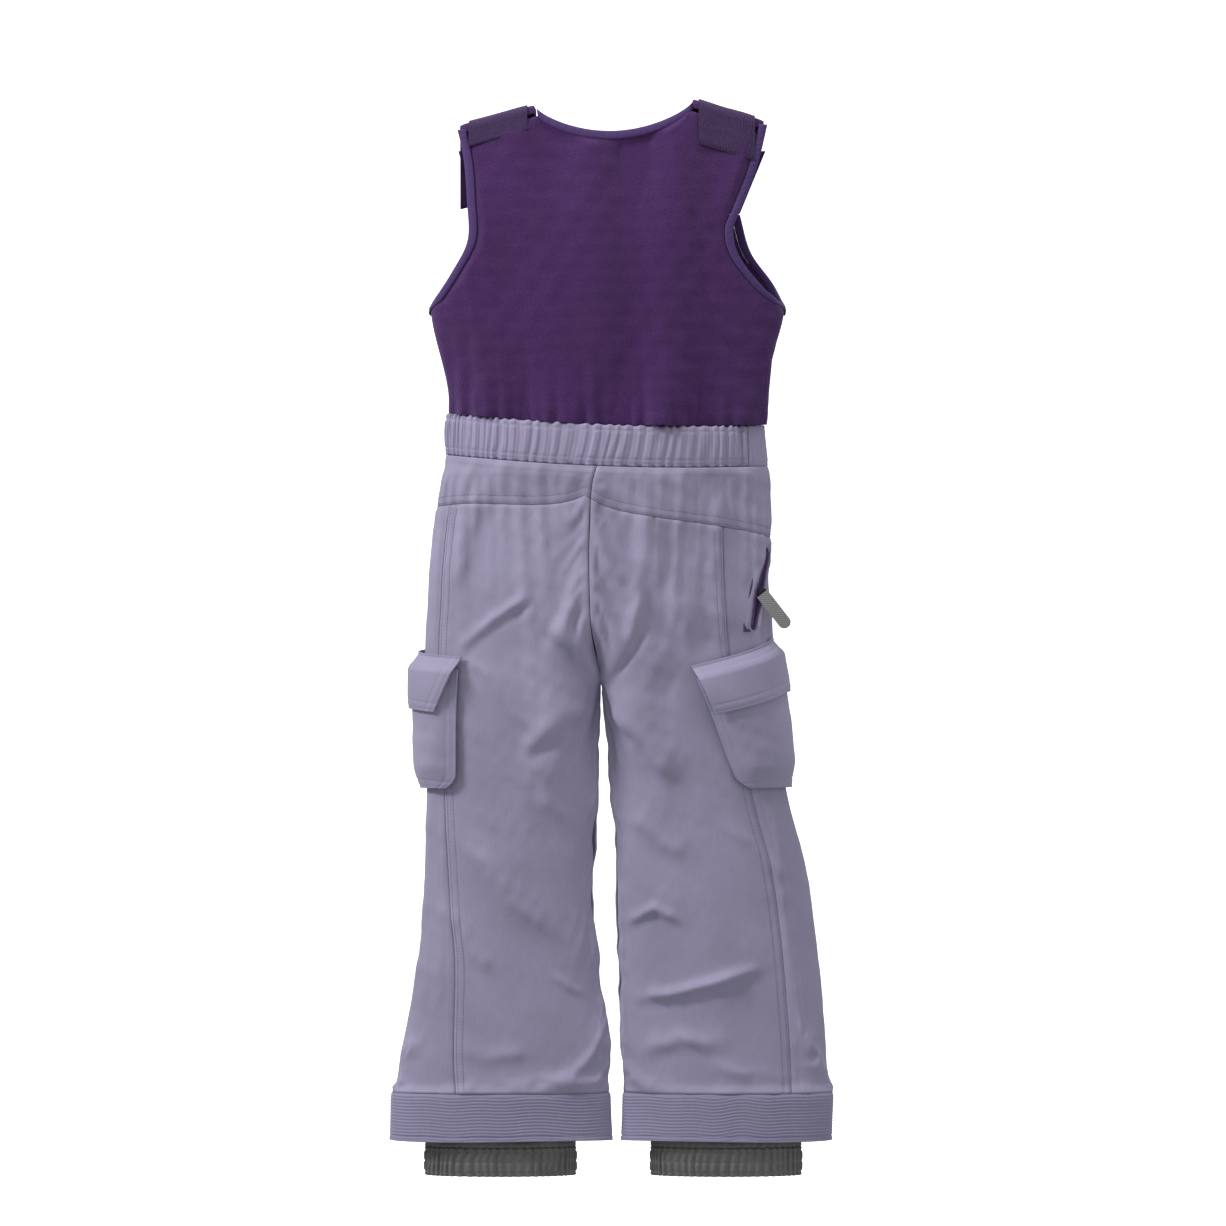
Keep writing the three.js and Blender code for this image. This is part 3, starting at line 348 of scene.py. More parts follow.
def leg_relief(side, q, height):
    """How far the padded cloth stands out of its hung shape, in millimetres."""
    point = body_point(side, q, height)
    x = point[..., 0]
    z = point[..., 2]
    facing = body_normal(side, q, height)[..., 1]
    back = smooth(-2.2 * facing)
    front = smooth(2.2 * facing)
    shape = 1.7 * drift(x + 40 * q, z) + 1.5 * crumple(x + 60 * q, z * 0.8)
    shape = shape + 0.45 * creases(x, z) + 1.2 * hang_relief(side, q, height)
    for points, width, tall in BACK_FOLDS:
        shape = shape + 2.1 * back * fold_line(x, z, points, width, tall)
    for points, width, tall in FRONT_FOLDS:
        shape = shape + 1.5 * front * fold_line(x, z, points, width, tall)
    low = band_low(across(side, q))
    below = low - z
    for place in WAIST_FOLDS:
        lean = place + 0.12 * place * below / 40
        fade = np.exp(-np.maximum(below, 0) / 17)
        shape = shape + 2.3 * fade * hump(x, lean, 5.5) * back
    tight = smooth(below / 9) * smooth((z - CUFF_TOP + 4) / 14)
    shape = shape * mix(0.35, 1, tight)
    limit = np.where(shape < 0, DEEPEST_FOLD, HIGHEST_FOLD)
    return limit * np.tanh(shape / limit)


def seam_dip(distance, depth=0.7, width=1.8):
    """The cloth turns in where two panels are sewn together."""
    return -depth * np.exp(-np.abs(distance) / width)


# ---------------------------------------------------------------- meshes


def mesh_object(name, vertices, faces, material):
    mesh = bpy.data.meshes.new(name)
    mesh.from_pydata((np.asarray(vertices) * MM).tolist(), [], faces)
    mesh.validate()
    mesh.update()
    piece = bpy.data.objects.new(name, mesh)
    bpy.context.scene.collection.objects.link(piece)
    mesh.materials.append(material)
    mesh.polygons.foreach_set("use_smooth", [True] * len(mesh.polygons))
    return piece


def lowered(points):
    points = np.array(points, float)
    points[..., 2] -= HANG_HEIGHT
    return points


def cloth_mesh(name, outside, inside, material, wrap=False):
    """A closed cloth solid from two matching grids of points, rows by columns."""
    rows, columns = outside.shape[:2]
    vertices = lowered(np.concatenate([outside.reshape(-1, 3), inside.reshape(-1, 3)]))
    count = rows * columns
    index = np.arange(count).reshape(rows, columns)
    if wrap:
        index = np.concatenate([index, index[:, :1]], axis=1)
    a = index[:-1, :-1].ravel()
    b = index[:-1, 1:].ravel()
    c = index[1:, 1:].ravel()
    d = index[1:, :-1].ravel()
    faces = np.stack([a, b, c, d], axis=1)
    faces = np.concatenate([faces, np.stack([a, d, c, b], axis=1) + count])

    def rim(line):
        p = line[:-1]
        n = line[1:]
        return np.stack([p, p + count, n + count, n], axis=1)

    edges = [rim(index[0]), rim(index[-1][::-1])]
    if not wrap:
        edges += [rim(index[:, -1]), rim(index[::-1, 0])]
    faces = np.concatenate([faces, *edges])
    if signed_volume(vertices, faces) < 0:
        faces = faces[:, ::-1]
    return mesh_object(name, vertices, faces.tolist(), material)


def signed_volume(vertices, faces):
    a, b, c, d = (vertices[faces[:, k]] for k in range(4))
    one = np.einsum("ij,ij->i", a, np.cross(b, c))
    two = np.einsum("ij,ij->i", a, np.cross(c, d))
    return float(np.sum(one + two))


def grid_area(points):
    a = points[:-1, :-1]
    b = points[:-1, 1:]
    c = points[1:, 1:]
    d = points[1:, :-1]
    one = np.linalg.norm(np.cross(b - a, c - a), axis=-1)
    two = np.linalg.norm(np.cross(c - a, d - a), axis=-1)
    return float(np.sum(one + two)) / 2 * MM * MM


def grid_spans(points):
    wide = np.linalg.norm(np.diff(points, axis=1), axis=-1).sum(axis=1).max()
    tall = np.linalg.norm(np.diff(points, axis=0), axis=-1).sum(axis=0).max()
    return float(wide) * MM, float(tall) * MM


def dress(piece, node, body=ROOT):
    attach(piece, body)
    if node:
        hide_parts(node)
    return piece


def declare_sheet(piece, flat_points, held, rests_on, gather=1.0):
    wide, tall = (max(size, 0.0102) for size in grid_spans(flat_points))
    area = grid_area(flat_points) * gather
    wide = wide * gather
    area = min(max(area, 0.31 * wide * tall), wide * tall)


def soft_surface(base, normal, relief):
    return base + normal * relief[..., None]


def closed(points):
    return np.concatenate([points, points[:, :1]], axis=1)


def cloth_piece(name, base, normal, relief, thick, cloth, sheet, wrap=False):
    """A cloth standing out of a surface by its relief, in place of the CAD node of its name."""
    material, slot = cloth
    outside = soft_surface(base, normal, relief)
    inside = soft_surface(base, normal, relief - thick)
    piece = cloth_mesh(name, outside, inside, material, wrap=wrap)
    dress(piece, name)
    declare_sheet(piece, closed(base) if wrap else base, *sheet)
    return outside


def grid_normals(points, like):
    """Unit normals of a grid of points, turned the same way as another set of normals."""
    run = np.gradient(points, axis=1)
    rise = np.gradient(points, axis=0)
    normal = unit_rows(np.cross(run, rise))
    flip = np.sign(np.sum(normal * like, axis=-1, keepdims=True))
    return normal * np.where(flip == 0, 1, flip)


# ---------------------------------------------------------------- materials


class Nodes:
    """A short way to build one material's node tree."""

    def __init__(self, name):
        self.material = bpy.data.materials.new(name)
        self.material.use_nodes = True
        self.tree = self.material.node_tree
        self.shader = self.tree.nodes["Principled BSDF"]
        place = self.add("ShaderNodeTexCoord")
        self.place = place.outputs["Object"]

    def add(self, kind, **settings):
        node = self.tree.nodes.new(kind)
        for key, value in settings.items():
            setattr(node, key, value)
        return node

    def link(self, source, target):
        self.tree.links.new(source, target)

    def noise(self, scale, detail=2.0, rough=0.5, stretch=None):
        node = self.add("ShaderNodeTexNoise")
        node.inputs["Scale"].default_value = scale
        node.inputs["Detail"].default_value = detail
        node.inputs["Roughness"].default_value = rough
        self.link(self.stretched(stretch) if stretch else self.place, node.inputs["Vector"])
        return node.outputs["Fac"]

    def stretched(self, scale, turn=(0, 0, 0)):
        node = self.add("ShaderNodeMapping")
        node.inputs["Scale"].default_value = scale
        node.inputs["Rotation"].default_value = turn
        self.link(self.place, node.inputs["Vector"])
        return node.outputs["Vector"]

    def waves(self, axis, per_metre, wobble=0.0, turn=(0, 0, 0)):
        node = self.add("ShaderNodeTexWave", wave_type="BANDS", bands_direction=axis)
        node.inputs["Scale"].default_value = per_metre / 20 * 2 * math.pi
        node.inputs["Distortion"].default_value = wobble
        node.inputs["Detail"].default_value = 1.0
        self.link(self.stretched((1, 1, 1), turn), node.inputs["Vector"])
        return node.outputs["Fac"]

    def blend(self, fac, a, b, kind="MIX"):
        node = self.add("ShaderNodeMix", data_type="RGBA", blend_type=kind)
        for socket, value in (("Factor", fac), ("A", a), ("B", b)):
            target = next(s for s in node.inputs if s.name == socket and s.enabled)
            if isinstance(value, (int, float, tuple)):
                target.default_value = value
            else:
                self.link(value, target)
        return next(s for s in node.outputs if s.enabled)

    def maths(self, operation, a, b):
        node = self.add("ShaderNodeMath", operation=operation)
        for k, value in enumerate((a, b)):
            if isinstance(value, (int, float)):
                node.inputs[k].default_value = value
            else:
                self.link(value, node.inputs[k])
        return node.outputs[0]

    def spread(self, source, low, high):
        node = self.add("ShaderNodeMapRange")
        self.link(source, node.inputs["Value"])
        node.inputs["From Min"].default_value = low
        node.inputs["From Max"].default_value = high
        return node.outputs["Result"]

    def bump(self, height, depth_mm, strength=1.0, onto=None):
        node = self.add("ShaderNodeBump")
        node.inputs["Distance"].default_value = depth_mm * MM
        node.inputs["Strength"].default_value = strength
        self.link(height, node.inputs["Height"])
        if onto is not None:
            self.link(onto, node.inputs["Normal"])
        self.link(node.outputs["Normal"], self.shader.inputs["Normal"])
        return node.outputs["Normal"]

    def finish(self, roughness, sheen=0.0, sheen_tint=(1, 1, 1, 1), metallic=0.0):
        self.shader.inputs["Roughness"].default_value = roughness
        self.shader.inputs["Metallic"].default_value = metallic
        self.shader.inputs["Sheen Weight"].default_value = sheen
        self.shader.inputs["Sheen Roughness"].default_value = 0.5
        self.shader.inputs["Sheen Tint"].default_value = sheen_tint
        return self.material


def linear(red, green, blue):
    """A colour given as 0 to 255 display values, as the shader wants it."""

    def channel(value):
        value /= 255
        return value / 12.92 if value <= 0.04045 else ((value + 0.055) / 1.055) ** 2.4

    return (channel(red), channel(green), channel(blue), 1.0)


def shaded(colour, factor):
    return (colour[0] * factor, colour[1] * factor, colour[2] * factor, 1.0)


def woven_material(name, colour, thread=0.75, depth=0.12, rough=0.72, sheen=0.12, mottle=0.1):
    n = Nodes(name)
    patches = n.spread(n.noise(14, 3), 0.3, 0.7)
    base = n.blend(patches, shaded(colour, 1 - mottle), shaded(colour, 1 + mottle))
    slub = n.spread(n.noise(900, 2, stretch=(1, 1, 0.12)), 0.35, 0.7)
    base = n.blend(n.maths("MULTIPLY", slub, 0.28), base, shaded(colour, 0.8))
    warp = n.waves("X", 1000 / thread, 0.6, (0, 0.6, 0))
    weft = n.waves("Z", 1000 / thread, 0.6, (0, 0.6, 0))
    weave = n.maths("MULTIPLY", warp, weft)
    # painted highlight: the thread crossings that the bump below raises are painted a little
    # lighter
    base = n.blend(n.maths("MULTIPLY", weave, 0.10), base, shaded(colour, 1.35))
    n.link(base, n.shader.inputs["Base Color"])
    fine = n.bump(weave, depth)
    n.bump(n.noise(160, 4, 0.6), 0.5, 0.35, onto=fine)
    return n.finish(rough, sheen, (0.9, 0.88, 1, 1))


def fleece_material(name, colour):
    n = Nodes(name)
    tufts = n.noise(420, 5, 0.75)
    broad = n.spread(n.noise(22, 3), 0.3, 0.7)
    base = n.blend(broad, shaded(colour, 0.84), shaded(colour, 1.14))
    # painted shade: the hollows between the tufts, which the bump below sinks, are painted darker
    base = n.blend(n.spread(tufts, 0.38, 0.68), shaded(colour, 0.62), base)
    pale = n.spread(n.noise(1500, 1), 0.66, 0.74)
    base = n.blend(n.maths("MULTIPLY", pale, 0.25), base, shaded(colour, 2.6))
    n.link(base, n.shader.inputs["Base Color"])
    nap = n.bump(n.noise(900, 4, 0.7), 0.9, 0.8)
    n.bump(tufts, 1.6, 0.75, onto=nap)
    return n.finish(0.95, 0.25, (0.75, 0.6, 1, 1))


def nylon_material(name, colour):
    n = Nodes(name)
    base = n.blend(n.spread(n.noise(40, 3), 0.3, 0.7), shaded(colour, 0.88), shaded(colour, 1.14))
    grid = n.maths("MULTIPLY", n.waves("X", 900, 0.3), n.waves("Z", 900, 0.3))
    # painted highlight: the ripstop grid that the bump below raises is painted lighter
    base = n.blend(n.maths("MULTIPLY", grid, 0.15), base, shaded(colour, 1.6))
    n.link(base, n.shader.inputs["Base Color"])
    fine = n.bump(grid, 0.12)
    n.bump(n.noise(110, 4, 0.6), 0.7, 0.5, onto=fine)
    return n.finish(0.5, 0.2)


def ribbed_material(name, colour, pitch, axis="Z", depth=0.3, rough=0.8):
    n = Nodes(name)
    rib = n.waves(axis, 1000 / pitch, 0.5)
    # painted light and shade: each rib's raised crest is painted lighter and its groove darker,
    # following the bump below
    base = n.blend(rib, shaded(colour, 0.82), shaded(colour, 1.12))
    base = n.blend(n.maths("MULTIPLY", n.noise(800, 3), 0.3), base, shaded(colour, 0.75))
    n.link(base, n.shader.inputs["Base Color"])
    fine = n.bump(rib, depth)
    n.bump(n.noise(1200, 2), 0.2, 0.6, onto=fine)
    return n.finish(rough, 0.2)


def plain_material(name, colour, rough, metallic=0.0):
    n = Nodes(name)
    base = n.blend(n.spread(n.noise(300, 3), 0.3, 0.7), shaded(colour, 0.85), shaded(colour, 1.15))
    n.link(base, n.shader.inputs["Base Color"])
    n.bump(n.noise(700, 3), 0.06, 0.5)
    return n.finish(rough, 0.0, metallic=metallic)


SHELL_CLOTH = woven_material("shell_cloth", linear(141, 135, 162))
BAND_CLOTH = woven_material("band_cloth", linear(140, 133, 162), mottle=0.07)
THREAD = plain_material("sewing_thread", linear(118, 110, 142), 0.7)
CUFF_CLOTH = woven_material("cuff_cloth", linear(134, 129, 158), 0.9, 0.25, mottle=0.06)
FLEECE_CLOTH = fleece_material("fleece", linear(65, 16, 90))
LOOP_CLOTH = fleece_material("loop_pile", linear(62, 36, 84))
BINDING_CLOTH = ribbed_material("binding_knit", linear(62, 28, 98), 0.9, "Z", 0.15, 0.75)
GAITER_CLOTH = nylon_material("gaiter_nylon", linear(86, 86, 87))
LINING_CLOTH = nylon_material("lining_taffeta", linear(120, 114, 140))
WEBBING = ribbed_material("pull_webbing", linear(128, 126, 128), 1.7, "Z", 0.3)
TAPE_CLOTH = ribbed_material("zip_tape", linear(66, 44, 88), 0.8, "Z", 0.1)
COIL_PLASTIC = plain_material("zip_coil", linear(84, 58, 110), 0.4)
ZIP_METAL = plain_material("zip_metal", linear(40, 40, 44), 0.35, 0.7)
HOOK_CLOTH = fleece_material("hook_strip", linear(60, 40, 78))

# ---------------------------------------------------------------- shell panels


def shell_seams(side):
    def gap(q, height):
        return CLEARANCE / surface_rate(side, q, height)

    def back(height):
        return edge_offset(side, height, side.back_seam(height), -1)

    def front(height):
        return edge_offset(side, height, side.front_seam(height), 1)

    def centre_front(height):
        wide = FRONT_ZIP_GAP * smooth((height - FRONT_ZIP_LOW + 12) / 12)
        return 1 - (CLEARANCE + wide) / surface_rate(side, 0.98, height)

    return SimpleNamespace(
        centre_back=lambda h: -1 + gap(-0.98, h),
        back=back,
        back_minus=lambda h: back(h) - 0.5 * gap(back(h), h),
        back_plus=lambda h: back(h) + 0.5 * gap(back(h), h),
        front_minus=lambda h: front(h) - 0.5 * gap(front(h), h),
        front_plus=lambda h: front(h) + 0.5 * gap(front(h), h),
        centre_front=centre_front,
    )


def panel_grid(edges, low, high, columns, rows):
    share = np.linspace(0, 1, columns + 1)[None, :]
    t = np.linspace(0, 1, rows + 1)[:, None]
    height = mix(low(np.zeros((1, 1))), high(np.zeros((1, 1))), t) + 0 * share
    for _ in range(5):
        q = mix(edges[0](height), edges[1](height), share)
        height = mix(low(q), high(q), t)
    return q, height


def edge_distances(points):
    """Each grid point's distance, along the cloth, to its left, right, low and high edges."""
    run = np.linalg.norm(np.diff(points, axis=1), axis=-1)
    rise = np.linalg.norm(np.diff(points, axis=0), axis=-1)
    from_left = np.concatenate([np.zeros((len(points), 1)), np.cumsum(run, axis=1)], axis=1)
    zero = np.zeros((1, points.shape[1]))
    from_low = np.concatenate([zero, np.cumsum(rise, axis=0)], axis=0)
    return from_left, from_left[:, -1:] - from_left, from_low, from_low[-1:] - from_low


def shell_panel(name, side, edges, low, high, columns, rows, extra=None):
    q, height = panel_grid(edges, low, high, columns, rows)
    base = body_point(side, q, height)
    normal = body_normal(side, q, height)
    relief = leg_relief(side, q, height) + 0.9
    for distance in edge_distances(base):
        relief = relief + seam_dip(distance)
        relief = relief - 0.35 * hump(distance, 2.2, 1.0) - 0.3 * hump(distance, 8.0, 1.2)
    if extra is not None:
        relief = relief + extra(side, q, height)
    sheet = ("hung", ["shoulder_strap_left", "shoulder_strap_right"], 1.02)
    outside = cloth_piece(name, base, normal, relief, SHELL, (SHELL_CLOTH, "shell"), sheet)
    stitch_edges(f"shell_{side.name}", outside, normal, TOP_STITCHED[name.rsplit("_", 1)[0]])


TOP_STITCHED = {
    "back_panel": ("right",),
    "side_panel": (),
    "front_panel": ("left",),
    "back_yoke": ("low",),
}


def yoke_of(side):
    return lambda q: yoke_height(across(side, q))


def band_of(side):
    return lambda q: band_low(across(side, q))


def level(value):
    return lambda q: value + 0 * q


HAND_ZIP_TOP = rise_at(0.64)
HAND_ZIP_LENGTH = 66
HAND_ZIP = {
    "left": SimpleNamespace(face=1, top=26, bottom=44),
    "right": SimpleNamespace(face=-1, top=2.5, bottom=15),
}


def zip_line(side, t, height):
    ends = HAND_ZIP[side.name]
    return edge_offset(side, height, mix(ends.bottom, ends.top, np.clip(t, 0, 1)), ends.face)


def zip_point(side, t, offset, inset):
    height = HAND_ZIP_TOP - HAND_ZIP_LENGTH * (1 - t)
    q = zip_line(side, t, height)
    return body_point(side, q + offset / surface_rate(side, q, height), height, inset)


def zip_mouth(side, q, height):
    """The slit of the hand pocket: lips stand up on both sides of a deep groove."""
    t = np.clip((height - HAND_ZIP_TOP) / HAND_ZIP_LENGTH + 1, 0, 1)
    line = zip_line(side, t, height)
    away = (q - line) * surface_rate(side, line, height)
    past = np.maximum(np.maximum(height - HAND_ZIP_TOP, HAND_ZIP_TOP - HAND_ZIP_LENGTH - height), 0)
    ends = np.exp(-((past / 4) ** 2))
    open_half = 1.7 + 1.5 * np.sin(math.pi * t) ** 2 * (1 if side is RIGHT else 0.2)
    groove = smooth((open_half + 1.5 - np.abs(away)) / 1.8)
    lips = 1.5 * hump(np.abs(away), open_half + 3.4, 2.2)
    return ends * (lips - 3.4 * groove)


def make_shell(side):
    seams = shell_seams(side)
    yoke = yoke_of(side)
    band = band_of(side)
    bottom = level(CUFF_TOP)

    def leg_top(q):
        return yoke(q) - CLEARANCE

    def band_bottom(q):
        return band(q) - CLEARANCE

    back = (seams.centre_back, seams.back_minus)
    shell_panel(f"back_panel_{side.name}", side, back, bottom, leg_top, 72, 190)
    middle = (seams.back_plus, seams.front_minus)
    shell_panel(f"side_panel_{side.name}", side, middle, bottom, leg_top, 70, 230, zip_mouth)
    front = (seams.front_plus, seams.centre_front)
    shell_panel(f"front_panel_{side.name}", side, front, bottom, band_bottom, 60, 180)
    top = (seams.centre_back, seams.front_minus)
    shell_panel(f"back_yoke_{side.name}", side, top, yoke, band_bottom, 110, 26)


def make_lining(side):
    seams = shell_seams(side)
    edges = (seams.centre_back, seams.centre_front)
    band = band_of(side)
    q, height = panel_grid(edges, level(CUFF_TOP + 14), lambda v: band(v) - 0.6, 90, 120)
    base = body_point(side, q, height, LINING_INSET)
    normal = body_normal(side, q, height)
    quilt = 1.2 * np.abs(np.sin(q * 9)) ** 0.5 * np.abs(np.sin(height / 19)) ** 0.5
    relief = -0.4 - quilt + np.minimum(leg_relief(side, q, height), 0)
    sheet = ("hung", [f"front_panel_{side.name}"], 1.02)
    lining = (LINING_CLOTH, "lining")
    cloth_piece(f"lining_{side.name}", base, normal, relief, 0.8, lining, sheet)


# ---------------------------------------------------------------- leg ends


def ring(columns, rows):
    q = np.linspace(-1, 1, columns + 1)[None, :-1] + np.zeros((rows + 1, 1))
    t = np.linspace(0, 1, rows + 1)[:, None] + np.zeros((1, columns))
    return q, t


def make_cuff(side):
    q, t = ring(260, 70)
    height = mix(HEM + 0.6 * np.sin(7 * q), CUFF_TOP - CLEARANCE, t)
    base = body_point(side, q, height)
    normal = body_normal(side, q, height)
    x = base[..., 0]
    wander = 1.5 * crumple(x, 60 * q) + 0.8 * drift(x, 30 * q)
    ribs = 0.28 * np.sin(2 * math.pi * (height + wander) / 2.9)
    up = t * CUFF_HEIGHT
    down = (1 - t) * CUFF_HEIGHT
    inner_rows = smooth(up / 3) * smooth(down / 3)
    relief = 1.3 + ribs * inner_rows + 0.9 * drift(x + 50 * q, height) + 1.5 * (1 - t) ** 2
    relief = relief + seam_dip(down, 1.2) - 0.5 * hump(up, 4.5, 1.0)
    sheet = ("hung", [f"back_panel_{side.name}"], 1.03)
    cuff = (CUFF_CLOTH, "cuff")
    cloth_piece(f"hem_cuff_{side.name}", base, normal, relief, 2.2, cuff, sheet, wrap=True)


GAITER_HALF = 69
GAITER_DEPTH = 19
GAITER_BAND = 27
GAITER_RISE = 70
GAITER_X = {"left": -97.5, "right": 107}


def gaiter_ring(side, q, height, inset):
    x = GAITER_X[side.name] + side.sign * (GAITER_HALF - inset) * np.cos(math.pi * q)
    return np.stack([x, (GAITER_DEPTH - inset) * np.sin(math.pi * q), height], axis=-1)


def make_gaiter(side):
    q, t = ring(300, 46)
    height = mix(GAITER_BAND + CLEARANCE, GAITER_BAND + GAITER_RISE, t)
    opening = smooth(t * 1.25)[..., None]
    leg = body_point(side, q, height, LINING_INSET + 2)
    base = mix(gaiter_ring(side, q, height, 0.5), leg, opening)
    normal = grid_normals(base, body_normal(side, q, height))
    x = base[..., 0]
    folds = np.abs(ripples(21, 19)(x + 70 * q, 0.8 * height)) ** 0.8
    gathers = np.sin(52 * math.pi * q + 2 * crumple(x, height * 2))
    relief = -2.4 * folds * smooth(t * 6) + 0.8 * gathers * np.exp(-t * 8) - 0.6
    skirt = f"gaiter_skirt_{side.name}"
    nylon = (GAITER_CLOTH, "nylon")
    sheet = ("gathered", [f"lining_{side.name}"], 1.1)
    cloth_piece(skirt, base, normal, relief, 0.7, nylon, sheet, wrap=True)

    q, t = ring(420, 26)
    height = mix(0.8, GAITER_BAND, t)
    base = gaiter_ring(side, q, height, 0.6)
    normal = grid_normals(base, body_normal(side, q, height + HEM))
    wander = 1.1 * np.sin(9 * q * math.pi) + 0.8 * np.sin(23 * q + side.sign)
    gathers = np.sin(54 * math.pi * q + wander + 0.5 * np.sin(6 * t + 11 * q))
    edge_rows = hump(t, 0.13, 0.05) + hump(t, 0.87, 0.05)
    stitched = 1 - 0.75 * edge_rows - 0.5 * hump(t, 0.5, 0.05)
    relief = 1.0 * gathers * stitched + 0.3 * np.sin(131 * q)
    relief = relief - 0.8 * (1 - stitched) - 1.6 * (2 * t - 1) ** 8
    sheet = ("gathered", [skirt], 1.35)
    cloth_piece(f"gaiter_elastic_{side.name}", base, normal, relief, 2.6, nylon, sheet, wrap=True)


# ---------------------------------------------------------------- waistband

BAND_BACK_LEFT = 0.05
BAND_BACK_RIGHT = -0.31
BAND_DEPTH = 5.4
GATHERS = 37


def band_half(turn, make):
    """Evaluates make(side, q) for each turn: negative turns are the left half."""
    q = np.abs(turn) - 1
    on_left = make(LEFT, q)
    on_right = make(RIGHT, q)
    pick = turn < 0
    if on_left.ndim > np.ndim(pick):
        pick = pick[..., None]
    return np.where(pick, on_left, on_right)


def make_waistband_back():
    start = -1 - BAND_BACK_LEFT
    stop = 1 + BAND_BACK_RIGHT
    columns = 640
    rows = 34
    turn = np.linspace(start, stop, columns + 1)[None, :] + np.zeros((rows + 1, 1))
    t = np.linspace(0, 1, rows + 1)[:, None] + np.zeros((1, columns + 1))
    x = band_half(turn, across)
    height = mix(band_low(x), band_high(x), t)
    base = band_half(turn, lambda side, q: body_point(side, q, height))
    normal = band_half(turn, lambda side, q: body_normal(side, q, height))
    share = (turn - start) / (stop - start)
    sway = 0.9 * np.sin(17 * share + 1) + 1.3 * np.sin(41 * share) + 0.5 * np.sin(97 * share + 2)
    lean = 0.35 * np.sin(9 * share + 4 * t) + 0.3 * np.sin(60 * share + 5 * t)
    wave = np.sin(2 * math.pi * GATHERS * share + sway + lean)
    deep = np.sin(2 * math.pi * GATHERS * share * 0.5 + 2 * sway)
    gathers = 0.8 * wave + 0.6 * deep + 0.2 * np.sin(2 * math.pi * 97 * share + 3 * t)
    gathers = gathers * (0.48 + 0.38 * np.sin(11 * share + 1) ** 2)
    tall = t * 38
    stitched = 1 - 0.6 * (hump(tall, 33, 1.3) + hump(tall, 3, 1.2) + hump(tall, 6.5, 1.2))
    relief = gathers * stitched - 0.9 * (1 - stitched) + 1.0 * np.sin(math.pi * t) ** 0.7
    relief = relief - 1.4 * (2 * t - 1) ** 12 * (1 - 0.3 * wave)
    crease = band_crease(x)
    relief = relief * (1 - 0.5 * hump(share, 1, 0.012)) + crease
    height_wave = 0.5 * wave * smooth((t - 0.86) / 0.14)
    outside = soft_surface(base, normal, relief)
    outside[..., 2] += height_wave
    inside = soft_surface(base, normal, -BAND_DEPTH - 0.3 * gathers)
    piece = cloth_mesh("waistband_back", outside, inside, BAND_CLOTH)
    dress(piece, "waistband_back")
    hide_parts("waist_elastic")
    declare_sheet(piece, base, "gathered", ["back_yoke_left", "back_yoke_right"], 1.3)


def band_crease(x):
    return -2.6 * hump(x, 121, 2.2)


def make_waistband_front(side):
    seams = shell_seams(side)
    start = BAND_BACK_LEFT if side is LEFT else BAND_BACK_RIGHT
    first = start + 0.6 / float(surface_rate(side, start, WAIST))
    edges = (lambda h: first + 0 * h, seams.centre_front)
    band = band_of(side)
    q, height = panel_grid(edges, band, lambda v: band_high(across(side, v)), 110, 22)
    base = body_point(side, q, height)
    normal = body_normal(side, q, height)
    left, right, low, high = edge_distances(base)
    relief = 0.5 + 0.5 * drift(base[..., 0], 3 * height)
    for distance in (left, right, low, high):
        relief = relief + seam_dip(distance, 0.9, 1.6)
    for distance in (low, high):
        relief = relief - 0.4 * hump(distance, 3.2, 0.9)
    relief = relief - 0.5 * hump(left, 4, 0.9)
    sheet = ("hung", [f"bodice_front_{side.name}"], 1.02)
    band_cloth = (BAND_CLOTH, "shell")
    cloth_piece(f"waistband_front_{side.name}", base, normal, relief, 2.6, band_cloth, sheet)


# ---------------------------------------------------------------- bodice

ARMHOLE_LOW = UNDERARM - BINDING_WIDTH
BACK_EDGE = {
    "left": curve([
        (UNDERARM, float(LEFT.outer(UNDERARM))), (armhole_at(0.16), -142),
        (armhole_at(0.32), -127), (armhole_at(0.5), -127), (armhole_at(0.75), -131),
        (SHOULDER, -142),
    ]),
    "right": curve([
        (UNDERARM, float(RIGHT.outer(UNDERARM))), (armhole_at(0.1), 139),
        (armhole_at(0.25), 118), (armhole_at(0.38), 113), (armhole_at(0.48), 120),
        (armhole_at(0.7), 135), (SHOULDER, 148),
    ]),
}
FRONT_EDGE = {
    "left": curve([
        (UNDERARM, float(LEFT.outer(UNDERARM))), (armhole_at(0.12), -141),
        (armhole_at(0.28), -124), (TAB_BASE, -120),
    ]),
    "right": curve([
        (UNDERARM, float(RIGHT.outer(UNDERARM))), (armhole_at(0.12), 150),
        (armhole_at(0.28), 130), (TAB_BASE, 120),
    ]),
}
NECK_LEFT = 0.26
NECK_RIGHT = 0.755
BACK_NECK_DROP = 27
STRAP_START = 9
STRAP_EDGES = {"left": (-65, -136), "right": (74, 143)}


def back_top(share):
    share = np.asarray(share, float)
    t = (share - NECK_LEFT) / (NECK_RIGHT - NECK_LEFT)
    scoop = np.sin(math.pi * np.clip(t, 0, 1)) ** 0.6
    neck = mix(SHOULDER + 1, SHOULDER + 6, np.clip(t, 0, 1)) - BACK_NECK_DROP * scoop
    left = mix(SHOULDER - 20, SHOULDER + 1, share / NECK_LEFT)
    right = mix(SHOULDER + 6, SHOULDER - 15, (share - NECK_RIGHT) / (1 - NECK_RIGHT))
    return np.where(share <= NECK_LEFT, left, np.where(share >= NECK_RIGHT, right, neck))


def fleece_edge(edge, side, height):
    height = np.asarray(height, float)
    inset = (BINDING_WIDTH + CLEARANCE) * smooth((height - ARMHOLE_LOW) / (2 * BINDING_WIDTH))
    above = edge(np.maximum(height, UNDERARM)) - side.sign * inset
    return np.where(height <= ARMHOLE_LOW, side.outer(height), above)


def bodice_rows(low, top, count):
    """Heights from the waistband to the armhole, then on to the top edge."""
    t = np.linspace(0, 1, count + 1)[:, None]
    split = 0.4
    lower = mix(low, ARMHOLE_LOW, t / split)
    upper = mix(ARMHOLE_LOW, top, (t - split) / (1 - split))
    return np.where(t <= split, lower, upper)


